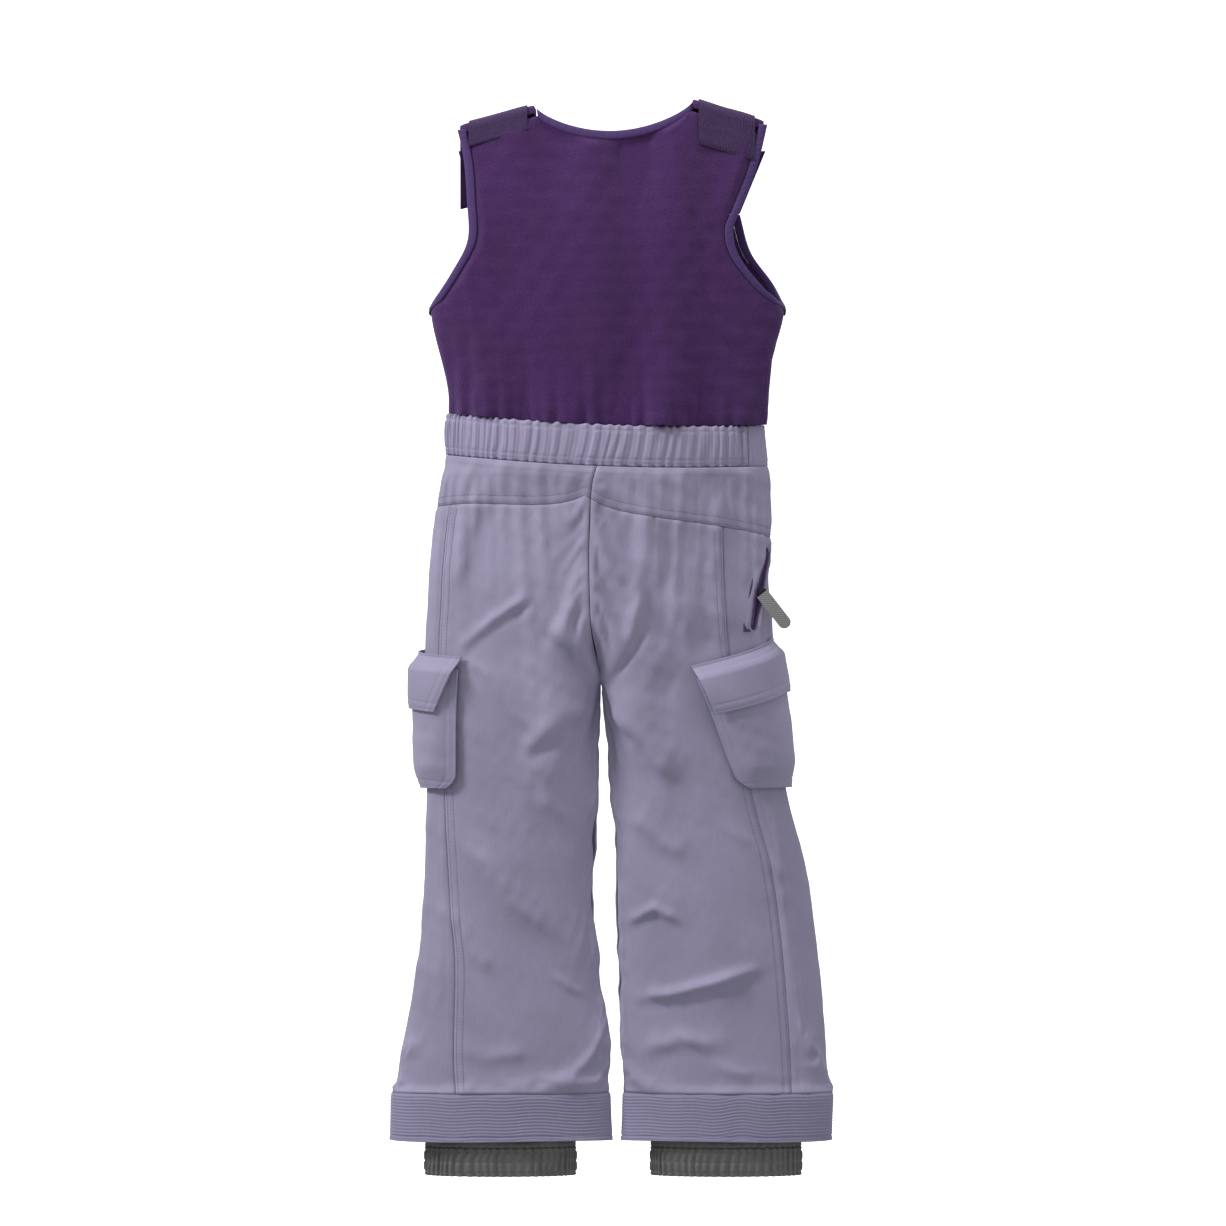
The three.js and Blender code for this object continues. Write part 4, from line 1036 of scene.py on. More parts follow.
def fleece_relief(x, height, low, seed):
    rise = height - low
    gathers = np.sin(x / 3.6 + 1.6 * np.sin(x / 23)) + 0.6 * np.sin(x / 2.1 + 2)
    soft = np.sin(x / 14 + seed + 0.5 * np.sin(height / 45)) + 0.5 * np.sin(x / 8.5 + 2 * seed)
    relief = 1.4 * gathers * np.exp(-rise / 22) + 3.2 * soft * np.exp(-rise / 90)
    relief = relief + 3.2 * ripples(seed, 60)(x, height * 0.4)
    relief = relief + 0.5 * ripples(seed + 1, 16)(x, height)
    return np.maximum(relief, -4) + 1.2 * (1 - np.exp(-rise / 12))


def outward_hints(points, x, y):
    """Rough outward directions over a grid of points, to turn its normals by."""
    like = np.zeros_like(points)
    like[..., 0] = x
    like[..., 1] = y
    return like


def make_back_bodice():
    share = np.linspace(0, 1, 241)[None, :]
    x_low = mix(LEFT.outer(BAND_TOP), RIGHT.outer(BAND_TOP), share)
    neck = (share > NECK_LEFT) & (share < NECK_RIGHT)
    top = back_top(share) - np.where(neck, BINDING_WIDTH + CLEARANCE, STRAP_START + 1)
    low = band_high(x_low) + 0.5
    height = bodice_rows(low, top, 200)
    from_x = fleece_edge(BACK_EDGE["left"], LEFT, height)
    to_x = fleece_edge(BACK_EDGE["right"], RIGHT, height)
    x = mix(from_x, to_x, share)
    base = bodice_point(x, height, -1)
    relief = fleece_relief(x, height, low, 4)
    left, right, _, high = edge_distances(base)
    for distance in (left, right):
        relief = relief * smooth(distance / 10 + 0.1) - 0.5 * np.exp(-distance / 3)
    relief = relief * smooth(high / 9 + 0.15)
    relief = relief - 0.9 * np.exp(-(height - low) / 4)
    sheet = ("hung", ["shoulder_strap_left", "shoulder_strap_right"], 1.05)
    normal = grid_normals(base, outward_hints(base, 0, -1))
    cloth_piece("bodice_back", base, normal, relief, FLEECE, (FLEECE_CLOTH, "fleece"), sheet)


def front_top(share):
    fall = smooth((0.5 - share) / 0.5)
    return mix(TAB_BASE, FRONT_NECK_LOW, fall)


def make_front_bodice(side):
    share = np.linspace(0, 1, 121)[None, :]
    x_low = mix(FRONT_X, side.outer(BAND_TOP), share)
    low = band_high(x_low) + 0.5
    height = bodice_rows(low, front_top(share), 150)
    from_x = FRONT_X + side.sign * (FRONT_ZIP_GAP + CLEARANCE)
    x = mix(from_x, fleece_edge(FRONT_EDGE[side.name], side, height), share)
    base = bodice_point(x, height, 1)
    relief = fleece_relief(x, height, low, 6 + side.sign)
    for distance in edge_distances(base)[:2]:
        relief = relief * smooth(distance / 12 + 0.1) - 0.5 * np.exp(-distance / 3)
    relief = relief - 0.9 * np.exp(-(height - low) / 4)
    sheet = ("hung", [f"shoulder_strap_{side.name}"], 1.05)
    normal = grid_normals(base, outward_hints(base, 0, 1))
    fleece = (FLEECE_CLOTH, "fleece")
    cloth_piece(f"bodice_front_{side.name}", base, normal, relief, FLEECE, fleece, sheet)


def make_armhole_binding(side):
    """A strip up the back of the armhole and down its front, crowned across its width."""
    steps = 110
    along = np.linspace(-1, 1, 2 * steps + 1)
    width = np.linspace(0, 1, 9)
    rows = []
    for value in along:
        face = -1 if value >= 0 else 1
        climb = abs(value)
        edge = (BACK_EDGE if face < 0 else FRONT_EDGE)[side.name]
        share = 0.0 if side is LEFT else 1.0
        top = float(back_top(share)) - 2 if face < 0 else TAB_BASE
        outer_z = mix(UNDERARM, top, climb)
        inner_z = mix(ARMHOLE_LOW, top, climb)
        outer_x = float(edge(outer_z))
        inner_x = float(fleece_edge(edge, side, inner_z)) + side.sign * 0.4
        x = mix(outer_x, inner_x, width)
        z = mix(outer_z, inner_z, width)
        point = bodice_point(x, z, face)
        settle = smooth(climb * 14)
        point[:, 1] = point[:, 1] * settle
        rows.append(point)
    base = np.array(rows)
    turn = np.where(along >= 0, -1.0, 1.0)[:, None]
    normal = grid_normals(base, outward_hints(base, side.sign * 0.6, turn))
    crown = 1.5 * np.sin(math.pi * mix(0.08, 0.92, width)) ** 0.5
    pucker = 0.22 * np.sin(np.arange(len(along)) * 1.9)[:, None] * np.sin(math.pi * width)
    outside = soft_surface(base, normal, crown[None, :] + pucker)
    inside = soft_surface(base, normal, -FLEECE - 0.6 * crown[None, :] + 0 * pucker)
    name = f"armhole_binding_{side.name}"
    piece = cloth_mesh(name, outside, inside, BINDING_CLOTH)
    dress(piece, name)
    declare_sheet(piece, base, "folded", [f"bodice_front_{side.name}"], 1.2)


def make_neck_binding():
    share = np.linspace(NECK_LEFT + 0.006, NECK_RIGHT - 0.006, 121)[None, :]
    width = np.linspace(0, 1, 9)[:, None]
    height = back_top(share) - BINDING_WIDTH * width
    from_x = BACK_EDGE["left"](height)
    to_x = BACK_EDGE["right"](height)
    x = mix(from_x, to_x, share)
    base = bodice_point(x, height, -1)
    crown = 1.5 * np.sin(math.pi * mix(0.08, 0.92, width)) ** 0.5
    relief = crown + 0.2 * np.sin(share * 260) * np.sin(math.pi * width)
    sheet = ("folded", ["bodice_back"], 1.2)
    normal = grid_normals(base, outward_hints(base, 0, -1))
    binding = (BINDING_CLOTH, "binding")
    cloth_piece("neck_binding", base, normal, relief, FLEECE + 1.5, binding, sheet)


# ---------------------------------------------------------------- shoulders

STRAP = 2.4
PATCH = 1.2
STRAP_FRONT_INSET = 8
STRAP_FRONT_LENGTH = 66
PATCH_SHOWS = {"left": 13, "right": 31}
TAB_HEIGHT = 56
TAB_MARGIN = 3


def shoulder_line(x):
    from_x = float(BACK_EDGE["left"](SHOULDER))
    return back_top((x - from_x) / (float(BACK_EDGE["right"](SHOULDER)) - from_x))


def strap_grid(side, margin, rise, drop, end, columns):
    """Points of a strap: up the back, over the shoulder fold and down the front."""
    neck, arm = STRAP_EDGES[side.name]
    arm -= 2 * side.sign
    x = mix(neck + side.sign * margin, arm - side.sign * margin, np.linspace(0, 1, columns + 1))
    low = shoulder_line(x) - STRAP_START
    back = bodice_point(x, low, -1)[:, 1] - rise
    front = bodice_point(x, low, 1)[:, 1] - STRAP_FRONT_INSET + rise
    rows = []
    for t in np.linspace(0, 1, 9)[:-1] if drop else ():
        height = low - drop * (1 - t) + CLEARANCE
        rows.append((bodice_point(x, height, -1)[:, 1] - rise, height))
    for t in np.linspace(0, 1, 25):
        angle = math.pi * (1 - t)
        y = (back + front) / 2 + (front - back) / 2 * math.cos(angle)
        rows.append((y, low + 1 + (STRAP_START - 1 + rise) * math.sin(angle)))
    for t in np.linspace(0, 1, 29)[1:]:
        height = low - end * t
        y = bodice_point(x, height, 1)[:, 1] - STRAP_FRONT_INSET + rise
        rows.append((y, height))
    points = np.array([np.stack([x, y, z], axis=-1) for y, z in rows])
    if side is RIGHT:
        room = BACK_EDGE["right"](points[..., 2]) - 7 - neck
        draw = np.where(np.arange(len(points))[:, None] > len(points) - 32, room / (arm - neck), 1)
        points[..., 0] = neck + (points[..., 0] - neck) * np.minimum(draw, 1)
    return points


def rounded(share, reach):
    """Falls off to 0 at both ends of 0..1 as a rolled cloth edge does."""
    return np.sqrt(np.clip(np.minimum(share, 1 - share) / reach, 0, 1) * 0.98 + 0.02)


def make_shoulder(side):
    name = f"shoulder_strap_{side.name}"
    outer = strap_grid(side, 0, 0, 0, STRAP_FRONT_LENGTH, 70)
    inner = strap_grid(side, 0, -STRAP, 0, STRAP_FRONT_LENGTH, 70)
    share = np.linspace(0, 1, 71)[None, :]
    puff = 1.0 * rounded(share, 0.06) - 0.7
    wave = 0.5 * ripples(31, 40)(outer[..., 0], outer[..., 2])
    out = unit_rows(outer - inner)
    outside = outer + out * (puff + wave)[..., None]
    inside = inner + out * (0.5 * puff + wave)[..., None]
    piece = cloth_mesh(name, outside, inside, FLEECE_CLOTH)
    dress(piece, name)
    declare_sheet(piece, outer, "hung", ["bodice_back"], 1.02)

    name = f"shoulder_loop_patch_{side.name}"
    shows = PATCH_SHOWS[side.name]
    top = strap_grid(side, 8, CLEARANCE + PATCH, shows, STRAP_FRONT_LENGTH - 8, 132)
    low = strap_grid(side, 8, CLEARANCE, shows, STRAP_FRONT_LENGTH - 8, 132)
    x = top[..., 0]
    along = np.concatenate([
        np.zeros((1, x.shape[1])),
        np.cumsum(np.linalg.norm(np.diff(top, axis=0), axis=-1), axis=0),
    ])
    bumps = np.sin(2 * math.pi * x / 2.6) * np.sin(2 * math.pi * along / 2.3)
    out = unit_rows(top - low)
    lift = 0.35 * bumps + 0.5 * ripples(31, 40)(x, top[..., 2]) + 0.4
    piece = cloth_mesh(name, top + out * lift[..., None], low + out * 0.2, LOOP_CLOTH)
    dress(piece, name)
    declare_sheet(piece, top, "laid", [f"shoulder_strap_{side.name}"], 1.02)
    make_tab(side)


def tab_grid(side, a, b, columns, rows, inset):
    neck, arm = STRAP_EDGES[side.name]
    share = np.linspace(a[0], a[1], columns + 1)[None, :]
    t = np.linspace(b[0], b[1], rows + 1)[:, None]
    base_arm = float(FRONT_EDGE[side.name](TAB_BASE))
    x = mix(neck + side.sign * TAB_MARGIN, mix(base_arm, arm, t), share)
    height = TAB_BASE + 2 * CLEARANCE + t * TAB_HEIGHT + 0 * share
    point = bodice_point(x, height, 1)
    point[..., 0] = x
    point[..., 1] -= inset
    return point, share + 0 * t, t + 0 * share


def make_tab(side):
    body = f"shoulder_tab_{side.name}"
    hook_inset = STRAP_FRONT_INSET - 2 * CLEARANCE - PATCH
    tab_inset = hook_inset - PATCH - CLEARANCE
    base, share, t = tab_grid(side, (0, 1), (0, 1), 60, 52, tab_inset - FLEECE)
    soft = 0.6 * ripples(41, 36)(base[..., 0], base[..., 2]) * smooth(t * 4)
    edge = 1.2 * rounded(share, 0.08) * rounded(np.minimum(t, 0.5), 0.08) - 1.0
    outside = base.copy()
    outside[..., 1] += soft + edge
    inside = base.copy()
    inside[..., 1] -= FLEECE - 0.2 * edge
    piece = cloth_mesh(body, outside, inside, FLEECE_CLOTH)
    dress(piece, body, body)
    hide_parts(body)
    declare_sheet(piece, base, "hung", [f"bodice_front_{side.name}"], 1.02)
    hook, *_ = tab_grid(side, (0.16, 0.8), (0.35, 0.9), 60, 40, hook_inset - PATCH)
    x = hook[..., 0]
    bumps = 0.25 * np.sin(2 * math.pi * x / 1.7) * np.sin(2 * math.pi * hook[..., 2] / 1.6)
    back = hook.copy()
    back[..., 1] -= PATCH - 0.3 + bumps
    name = f"tab_hook_patch_{side.name}"
    piece = cloth_mesh(name, hook, back, HOOK_CLOTH)
    dress(piece, name, body)
    declare_sheet(piece, hook, "laid", [body], 1.02)


# ---------------------------------------------------------------- zips

TAPE_INSET = SHELL + 1.4
HAND_COIL_PITCH = 1.9
FRONT_COIL_PITCH = 2.2


def block(centre, axes, size):
    """Eight corners and six faces of a small box with its own axes."""
    corners = [
        centre + sum(axes[k] * size[k] * sign / 2 for k, sign in enumerate(signs))
        for signs in ((-1, -1, -1), (1, -1, -1), (1, 1, -1), (-1, 1, -1),
                      (-1, -1, 1), (1, -1, 1), (1, 1, 1), (-1, 1, 1))
    ]
    faces = ((0, 3, 2, 1), (4, 5, 6, 7), (0, 1, 5, 4), (1, 2, 6, 5), (2, 3, 7, 6), (3, 0, 4, 7))
    return corners, faces


def blocks_mesh(name, blocks, material):
    vertices = []
    faces = []
    for corners, sides in blocks:
        start = len(vertices)
        vertices.extend(corners)
        faces.extend([start + k for k in face] for face in sides)
    piece = mesh_object(name, lowered(vertices), faces, material)
    bevel = piece.modifiers.new("soft_edges", "BEVEL")
    bevel.width = 0.00018
    bevel.segments = 2
    return piece


def unit(vector):
    return vector / max(float(np.linalg.norm(vector)), 1e-9)


def tooth_axes(point, ahead, outward):
    along = unit(ahead - point)
    out = unit(outward - along * float(np.dot(outward, along)))
    return np.cross(along, out), along, out


def make_hand_zip(side):
    """Tape and two rows of teeth round the slit; the slider's gap leaves the rows apart."""
    t = np.linspace(-0.1, 1.1, 71)[:, None]
    offset = np.linspace(-8, 8, 41)[None, :]
    over = t + 0 * offset
    tape = zip_point(side, over, offset + 0 * t, TAPE_INSET)
    sheet = ("hung", [f"side_panel_{side.name}"], 1.03)
    outward = np.array([side.sign * 0.3, float(HAND_ZIP[side.name].face), 0])
    normal = grid_normals(tape, outward_hints(tape, *outward[:2]))
    trough = -1.4 * hump(offset + 0 * t, 0, 1.4)
    webbing = (TAPE_CLOTH, "zip_tape")
    cloth_piece(f"hand_zip_tape_{side.name}", tape, normal, trough, 0.6, webbing, sheet)

    count = round(HAND_ZIP_LENGTH / HAND_COIL_PITCH)
    teeth = []
    for k in range(count):
        share = (k + 0.5) / count
        gap = 1.35 + 1.3 * math.sin(math.pi * share) ** 2 * (1 if side is RIGHT else 0.1)
        for hand in (-1, 1):
            here = share + hand * 0.25 / count
            centre = zip_point(side, here, hand * (gap + 0.5), 1.2)
            ahead = zip_point(side, here + 0.03, hand * (gap + 0.5), 1.2)
            teeth.append(block(centre, tooth_axes(centre, ahead, outward), (2.0, 1.15, 1.4)))
    coil_name = f"hand_zip_coil_{side.name}"
    piece = blocks_mesh(coil_name, teeth, COIL_PLASTIC)
    dress(piece, coil_name)

    t = np.linspace(-0.9, 1.1, 61)[:, None]
    share = np.linspace(-1, 1, 41)[None, :]
    reach = mix(20, 12, (t + 0.9) / 2)
    height_t = t + 0 * share
    bag = zip_point(side, height_t, reach * share, TAPE_INSET + 2.2)
    normal = grid_normals(bag, outward_hints(bag, *outward[:2]))
    relief = 0.35 * ripples(51, 16)(bag[..., 0], bag[..., 2]) - 1.6
    lining = (LINING_CLOTH, "lining")
    cloth_piece(f"hand_pocket_bag_{side.name}", bag, normal, relief, 0.6, lining, sheet)


def front_strip(from_x, to_x, low, high, inset, columns, rows):
    x = FRONT_X + np.linspace(from_x, to_x, columns + 1)[None, :]
    height = np.linspace(low, high, rows + 1)[:, None]
    return bodice_point(x + 0 * height, height + 0 * x, 1, inset)


def make_front_zip():
    top = FRONT_NECK_LOW - 2
    for side in SIDES:
        name = f"front_zip_tape_{side.name}"
        base = front_strip(side.sign * 0.3, side.sign * 13, FRONT_ZIP_LOW, top, 4.6, 14, 90)
        back = front_strip(side.sign * 0.3, side.sign * 13, FRONT_ZIP_LOW, top, 5.3, 14, 90)
        ridge = 0.15 * np.sin(base[..., 0] * 2.6)
        base[..., 1] += ridge
        piece = cloth_mesh(name, base, back, TAPE_CLOTH)
        dress(piece, name)
        declare_sheet(piece, base, "hung", [f"front_panel_{side.name}"], 1.02)
    count = round((top - FRONT_ZIP_LOW) / FRONT_COIL_PITCH)
    teeth = []
    for k in range(count):
        for hand in (-1, 1):
            height = FRONT_ZIP_LOW + (top - FRONT_ZIP_LOW) * (k + 0.5 + hand * 0.25) / count
            centre = bodice_point(FRONT_X + hand * 0.9, height, 1, 2.4)
            ahead = bodice_point(FRONT_X + hand * 0.9, height + 3, 1, 2.4)
            axes = tooth_axes(centre, ahead, np.array([0.0, 1.0, 0.0]))
            teeth.append(block(centre, axes, (3.0, 1.25, 3.2)))
    piece = blocks_mesh("front_zip_coil", teeth, COIL_PLASTIC)
    dress(piece, "front_zip_coil")


def refit_puller(node_name, body):
    """A webbing puller: the CAD strip's own box, remade with rounded selvedges and ribs."""
    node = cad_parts[node_name]
    corners = np.array([node.matrix_world @ v.co for v in node.data.vertices])
    centre = corners.mean(axis=0)
    _, vectors = np.linalg.eigh(np.cov((corners - centre).T))
    out, across_axis, along = (vectors[:, k] for k in range(3))
    low = (corners - centre) @ along
    if np.ptp(((corners - centre) @ across_axis)[low < np.percentile(low, 12)]) < np.ptp(
        ((corners - centre) @ across_axis)[low > np.percentile(low, 88)]
    ):
        along = -along
    if float(np.dot(np.cross(across_axis, along), out)) < 0:
        out = -out
    reach = {}
    for key, axis in (("along", along), ("across", across_axis), ("out", out)):
        value = (corners - centre) @ axis
        reach[key] = (float(value.min()), float(value.max()))
    rows, columns = 120, 24
    s = np.linspace(0, 1, rows + 1)[:, None]
    v = np.linspace(-1, 1, columns + 1)[None, :]
    length = reach["along"][1] - reach["along"][0]
    half = (reach["across"][1] - reach["across"][0]) / 2
    middle = sum(reach["across"]) / 2
    end = np.clip((half - (1 - s) * length) / half, 0, 1)
    wide = half * np.sqrt(np.clip(1 - end**2, 0.0009, 1))
    ribs = 0.00012 * np.sin(2 * math.pi * s * length / 0.0017) * (1 - np.abs(v) ** 6)
    groove = -0.00018 * hump(np.abs(v), 0.82, 0.07)
    thick = (reach["out"][1] - reach["out"][0]) / 2
    crown = thick * (1 - 0.55 * np.abs(v) ** 6)
    bow = 0.0006 * np.sin(math.pi * s)
    flat = (
        centre
        + (reach["along"][0] + s * length)[..., None] * along
        + (middle + wide * v)[..., None] * across_axis
        + (sum(reach["out"]) / 2 + bow + 0 * v)[..., None] * out
    )
    outside = flat + (crown + ribs + groove)[..., None] * out
    inside = flat - (crown + ribs + groove)[..., None] * out
    up = np.array([0, 0, HANG_HEIGHT])
    piece = cloth_mesh(node_name, outside / MM + up, inside / MM + up, WEBBING)
    dress(piece, node_name, body)
    declare_sheet(piece, flat / MM, "hung", [body], 1.0)


# ---------------------------------------------------------------- cargo pockets

POUCH_DEPTH = 5
FLAP_HEIGHT = 50
POUCH_MOUTH_DROP = 12
CARGO = {
    "left": SimpleNamespace(
        top=rise_at(0.23), height=127, back=39, front=55, slant=8, taper=4, flap_taper=21,
        flap_front=55, strip=(0.62, 0.85),
    ),
    "right": SimpleNamespace(
        top=rise_at(0.27), height=135, back=77, front=8, slant=25, taper=27, flap_taper=15,
        flap_front=0.5, strip=(0.2, 0.5),
    ),
}


def seam_slant(side, share):
    return CARGO[side.name].slant * (1 - np.minimum(1, share * 1.25))


def cargo_q(side, share, height, back, front):
    from_q = edge_offset(side, height, back, -1)
    to_q = edge_offset(side, height, front, 1)
    return mix(from_q, to_q, share)


def pouch_surface(side, columns, rows):
    cargo = CARGO[side.name]
    share = np.linspace(0, 1, columns + 1)[None, :]
    t = np.linspace(0, 1, rows + 1)[:, None]
    top = cargo.top - seam_slant(side, share) - POUCH_MOUTH_DROP
    height = mix(cargo.top - cargo.height, top, t)
    corner = 9 * (1 - np.clip(t * cargo.height / 16, 0, 1)) ** 2
    back = cargo.back - 3 - cargo.taper * (1 - t) - corner
    q = cargo_q(side, share, height, back + 0 * share, cargo.front - 3 + 0 * height)
    return share + 0 * t, t + 0 * share, q, height


def make_pouch(side):
    share, t, q, height = pouch_surface(side, 120, 130)
    base = body_point(side, q, height)
    normal = body_normal(side, q, height)
    edge = np.minimum(1, 7 * share * (1 - share) + 0.0001)
    bulge = POUCH_DEPTH * smooth(edge) * smooth(t * 5)
    left, right, low, high = edge_distances(base)
    relief = 2.0 + bulge + 0.8 * crumple(base[..., 0] + 30 * q, height) * edge
    relief = relief + 0.35 * creases(base[..., 0], height) * edge
    for distance in (left, right, low):
        relief = relief - 0.5 * np.exp(-distance / 2)
        relief = relief - 0.4 * hump(distance, 2.4, 0.8) - 0.4 * hump(distance, 8.5, 0.9)
    relief = relief - 0.4 * hump(high, 14, 0.9) - 0.4 * hump(high, 3, 0.8)
    # Under the flap the pouch lies flat, below the loop strip.
    relief = np.minimum(relief, mix(9, 6.5, smooth((t - 0.5) / 0.15)))
    sheet = ("hung", [f"side_panel_{side.name}"], 1.04)
    shell = (SHELL_CLOTH, "shell")
    cloth_piece(f"cargo_pocket_{side.name}", base, normal, relief, 1.4, shell, sheet)


def flap_surface(side, a, b, columns, rows):
    cargo = CARGO[side.name]
    share = np.linspace(a[0], a[1], columns + 1)[None, :]
    t = np.linspace(b[0], b[1], rows + 1)[:, None]
    top = cargo.top - seam_slant(side, share)
    lift_end = 7 * t * (1 - share) if side is RIGHT else 0
    height = top - FLAP_HEIGHT * t + lift_end
    back = cargo.back - cargo.flap_taper * t + 0 * share
    q = cargo_q(side, share, height, back, cargo.flap_front + 0 * height)
    lift = mix(1.0, 10.4, smooth(t * 3)) + 0 * share
    return q, height, lift


def make_flap(side):
    body = f"cargo_flap_{side.name}"
    q, height, lift = flap_surface(side, (0, 1), (0, 1), 120, 60)
    base = body_point(side, q, height)
    normal = body_normal(side, q, height)
    left, right, low, high = edge_distances(base)
    relief = lift + 0.5 * crumple(base[..., 0], height + 60 * q)
    relief = relief + 0.8 * np.exp(-low / 5)
    for distance in (left, right, high):
        relief = relief - 0.7 * np.exp(-distance / 1.8)
        relief = relief - 0.4 * hump(distance, 2.6, 0.8) - 0.35 * hump(distance, 8.5, 0.9)
    relief = relief - 0.5 * hump(low, 2.6, 0.8) - 0.4 * hump(low, 8.5, 0.9)
    outside = soft_surface(base, normal, relief)
    inside = soft_surface(base, normal, relief - 1.6)
    piece = cloth_mesh(body, outside, inside, SHELL_CLOTH)
    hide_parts(body)
    declare_sheet(piece, base, "hung", [f"side_panel_{side.name}"], 1.04)
    start, end = flap_bend(side)
    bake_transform(piece)
    make_fasteners(side)


def flap_bend(side):
    """Two points on the flap, a little way down from its hinge seam."""
    q, height, _ = flap_surface(side, (0.5, 0.6), (0.0, 0.2), 1, 1)
    points = body_point(side, q, height)
    start = lowered(points[0, 0]) * MM
    end = lowered(points[1, 0]) * MM
    return tuple(float(v) for v in start), tuple(float(v) for v in end)


def make_fasteners(side):
    cargo = CARGO[side.name]
    for name, body, depth in (
        (f"flap_hook_strip_{side.name}", f"cargo_flap_{side.name}", 2.2),
        (f"pouch_loop_strip_{side.name}", ROOT, 3.3),
    ):
        q, height, lift = flap_surface(side, cargo.strip, (0.68, 0.92), 60, 24)
        base = body_point(side, q, height)
        normal = body_normal(side, q, height)
        bumps = 0.15 * np.sin(base[..., 0] * 3.1) * np.sin(height * 3.3)
        outside = soft_surface(base, normal, lift - depth + bumps)
        inside = soft_surface(base, normal, lift - depth - 0.7)
        piece = cloth_mesh(name, outside, inside, HOOK_CLOTH)
        dress(piece, name, body)
        declare_sheet(piece, base, "laid", [f"cargo_pocket_{side.name}"], 1.02)


# ---------------------------------------------------------------- stitching

STITCHES = {}
STITCH_PITCH = 3.2
STITCH_SIZE = (0.55, 2.3, 0.5)
STITCH_INSETS = (2.2, 8.0)


def inset_line(grid, edge, distance):
    """The line that runs a distance in from one edge of a grid of points."""
    if edge in ("low", "high"):
        grid = grid.transpose(1, 0, 2)
    if edge in ("right", "high"):
        grid = grid[:, ::-1]
    run = np.linalg.norm(np.diff(grid, axis=1), axis=-1)
    run = np.concatenate([np.zeros((len(grid), 1)), np.cumsum(run, axis=1)], axis=1)
    line = []
    for row, length in zip(grid, run):
        line.append([np.interp(distance, length, row[:, k]) for k in range(3)])
    return np.array(line)


def stitch_line(group, line, outward):
    """Lays single stitches end to end along a line on a cloth's outer face."""
    steps = np.linalg.norm(np.diff(line, axis=0), axis=-1)
    length = np.concatenate([[0], np.cumsum(steps)])
    places = np.arange(STITCH_PITCH * 0.7, length[-1] - STITCH_PITCH, STITCH_PITCH)
    spot = np.stack([np.interp(places, length, line[:, k]) for k in range(3)], axis=-1)
    ahead = np.stack([np.interp(places + 1, length, line[:, k]) for k in range(3)], axis=-1)
    hint = np.stack([np.interp(places, length, outward[:, k]) for k in range(3)], axis=-1)
    store = STITCHES.setdefault(group, [])
    for centre, front, out in zip(spot, ahead, hint):
        if np.linalg.norm(front - centre) > 1e-6:
            axes = tooth_axes(centre, front, out)
            store.append(block(centre + 0.05 * axes[2], axes, STITCH_SIZE))


def stitch_edges(group, outside, like, edges):
    normal = grid_normals(outside, like)
    for edge in edges:
        for inset in STITCH_INSETS:
            line = inset_line(outside, edge, inset)
            stitch_line(group, line, inset_line(outside + normal, edge, inset) - line)


def make_stitches():
    for group, blocks in STITCHES.items():
        piece = blocks_mesh(f"stitching_{group}", blocks, THREAD)
        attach(piece, ROOT)


# ---------------------------------------------------------------- how the cloth hangs

SIM_CAP = 7.0
SIM_FRAMES = 20
HANG = {}


def simulate_leg(side):
    """Lets one leg's cloth, a little longer than its shape, buckle and settle under gravity."""
    columns = 130
    rows = 112
    q = np.linspace(-0.985, 0.985, columns + 1)[None, :] + np.zeros((rows + 1, 1))
    height = np.linspace(CUFF_TOP, WAIST - 6, rows + 1)[:, None] + np.zeros((1, columns + 1))
    base = body_point(side, q, height)
    normal = body_normal(side, q, height)
    seed = 0.8 * crumple(base[..., 0] + 50 * q, height)
    start = lowered(soft_surface(base, normal, seed)) * MM
    count = (rows + 1) * (columns + 1)
    index = np.arange(count).reshape(rows + 1, columns + 1)
    faces = np.stack(
        [index[:-1, :-1], index[:-1, 1:], index[1:, 1:], index[1:, :-1]], axis=-1
    ).reshape(-1, 4)
    piece = mesh_object(f"hang_{side.name}", start.reshape(-1, 3) / MM, faces.tolist(), SHELL_CLOTH)
    pins = piece.vertex_groups.new(name="held")
    held = np.zeros_like(index, bool)
    held[0] = held[-1] = True
    held[:, 0] = held[:, -1] = True
    pins.add([int(v) for v in index[held]], 1.0, "REPLACE")
    cloth = piece.modifiers.new("hang", "CLOTH")
    cloth.settings.vertex_group_mass = "held"
    cloth.settings.quality = 6
    cloth.settings.mass = 0.25
    cloth.settings.tension_stiffness = 12
    cloth.settings.compression_stiffness = 12
    cloth.settings.shear_stiffness = 6
    cloth.settings.bending_stiffness = 0.6
    cloth.settings.shrink_min = -0.03
    cloth.settings.use_pressure = True
    cloth.settings.uniform_pressure_force = 0.25
    cloth.collision_settings.use_collision = False
    cloth.point_cache.frame_start = 1
    cloth.point_cache.frame_end = SIM_FRAMES
    scene = bpy.context.scene
    for number in range(1, SIM_FRAMES + 1):
        scene.frame_set(number)
    graph = bpy.context.evaluated_depsgraph_get()
    settled = piece.evaluated_get(graph).to_mesh()
    moved = np.empty(count * 3)
    settled.vertices.foreach_get("co", moved)
    moved = moved.reshape(rows + 1, columns + 1, 3)
    bpy.data.objects.remove(piece, do_unlink=True)
    scene.frame_set(1)
    offset = np.sum((moved - lowered(base) * MM) * normal, axis=-1) / MM
    offset = SIM_CAP * np.tanh(offset / SIM_CAP)
    HANG[side.name] = (q[0], height[:, 0], offset)


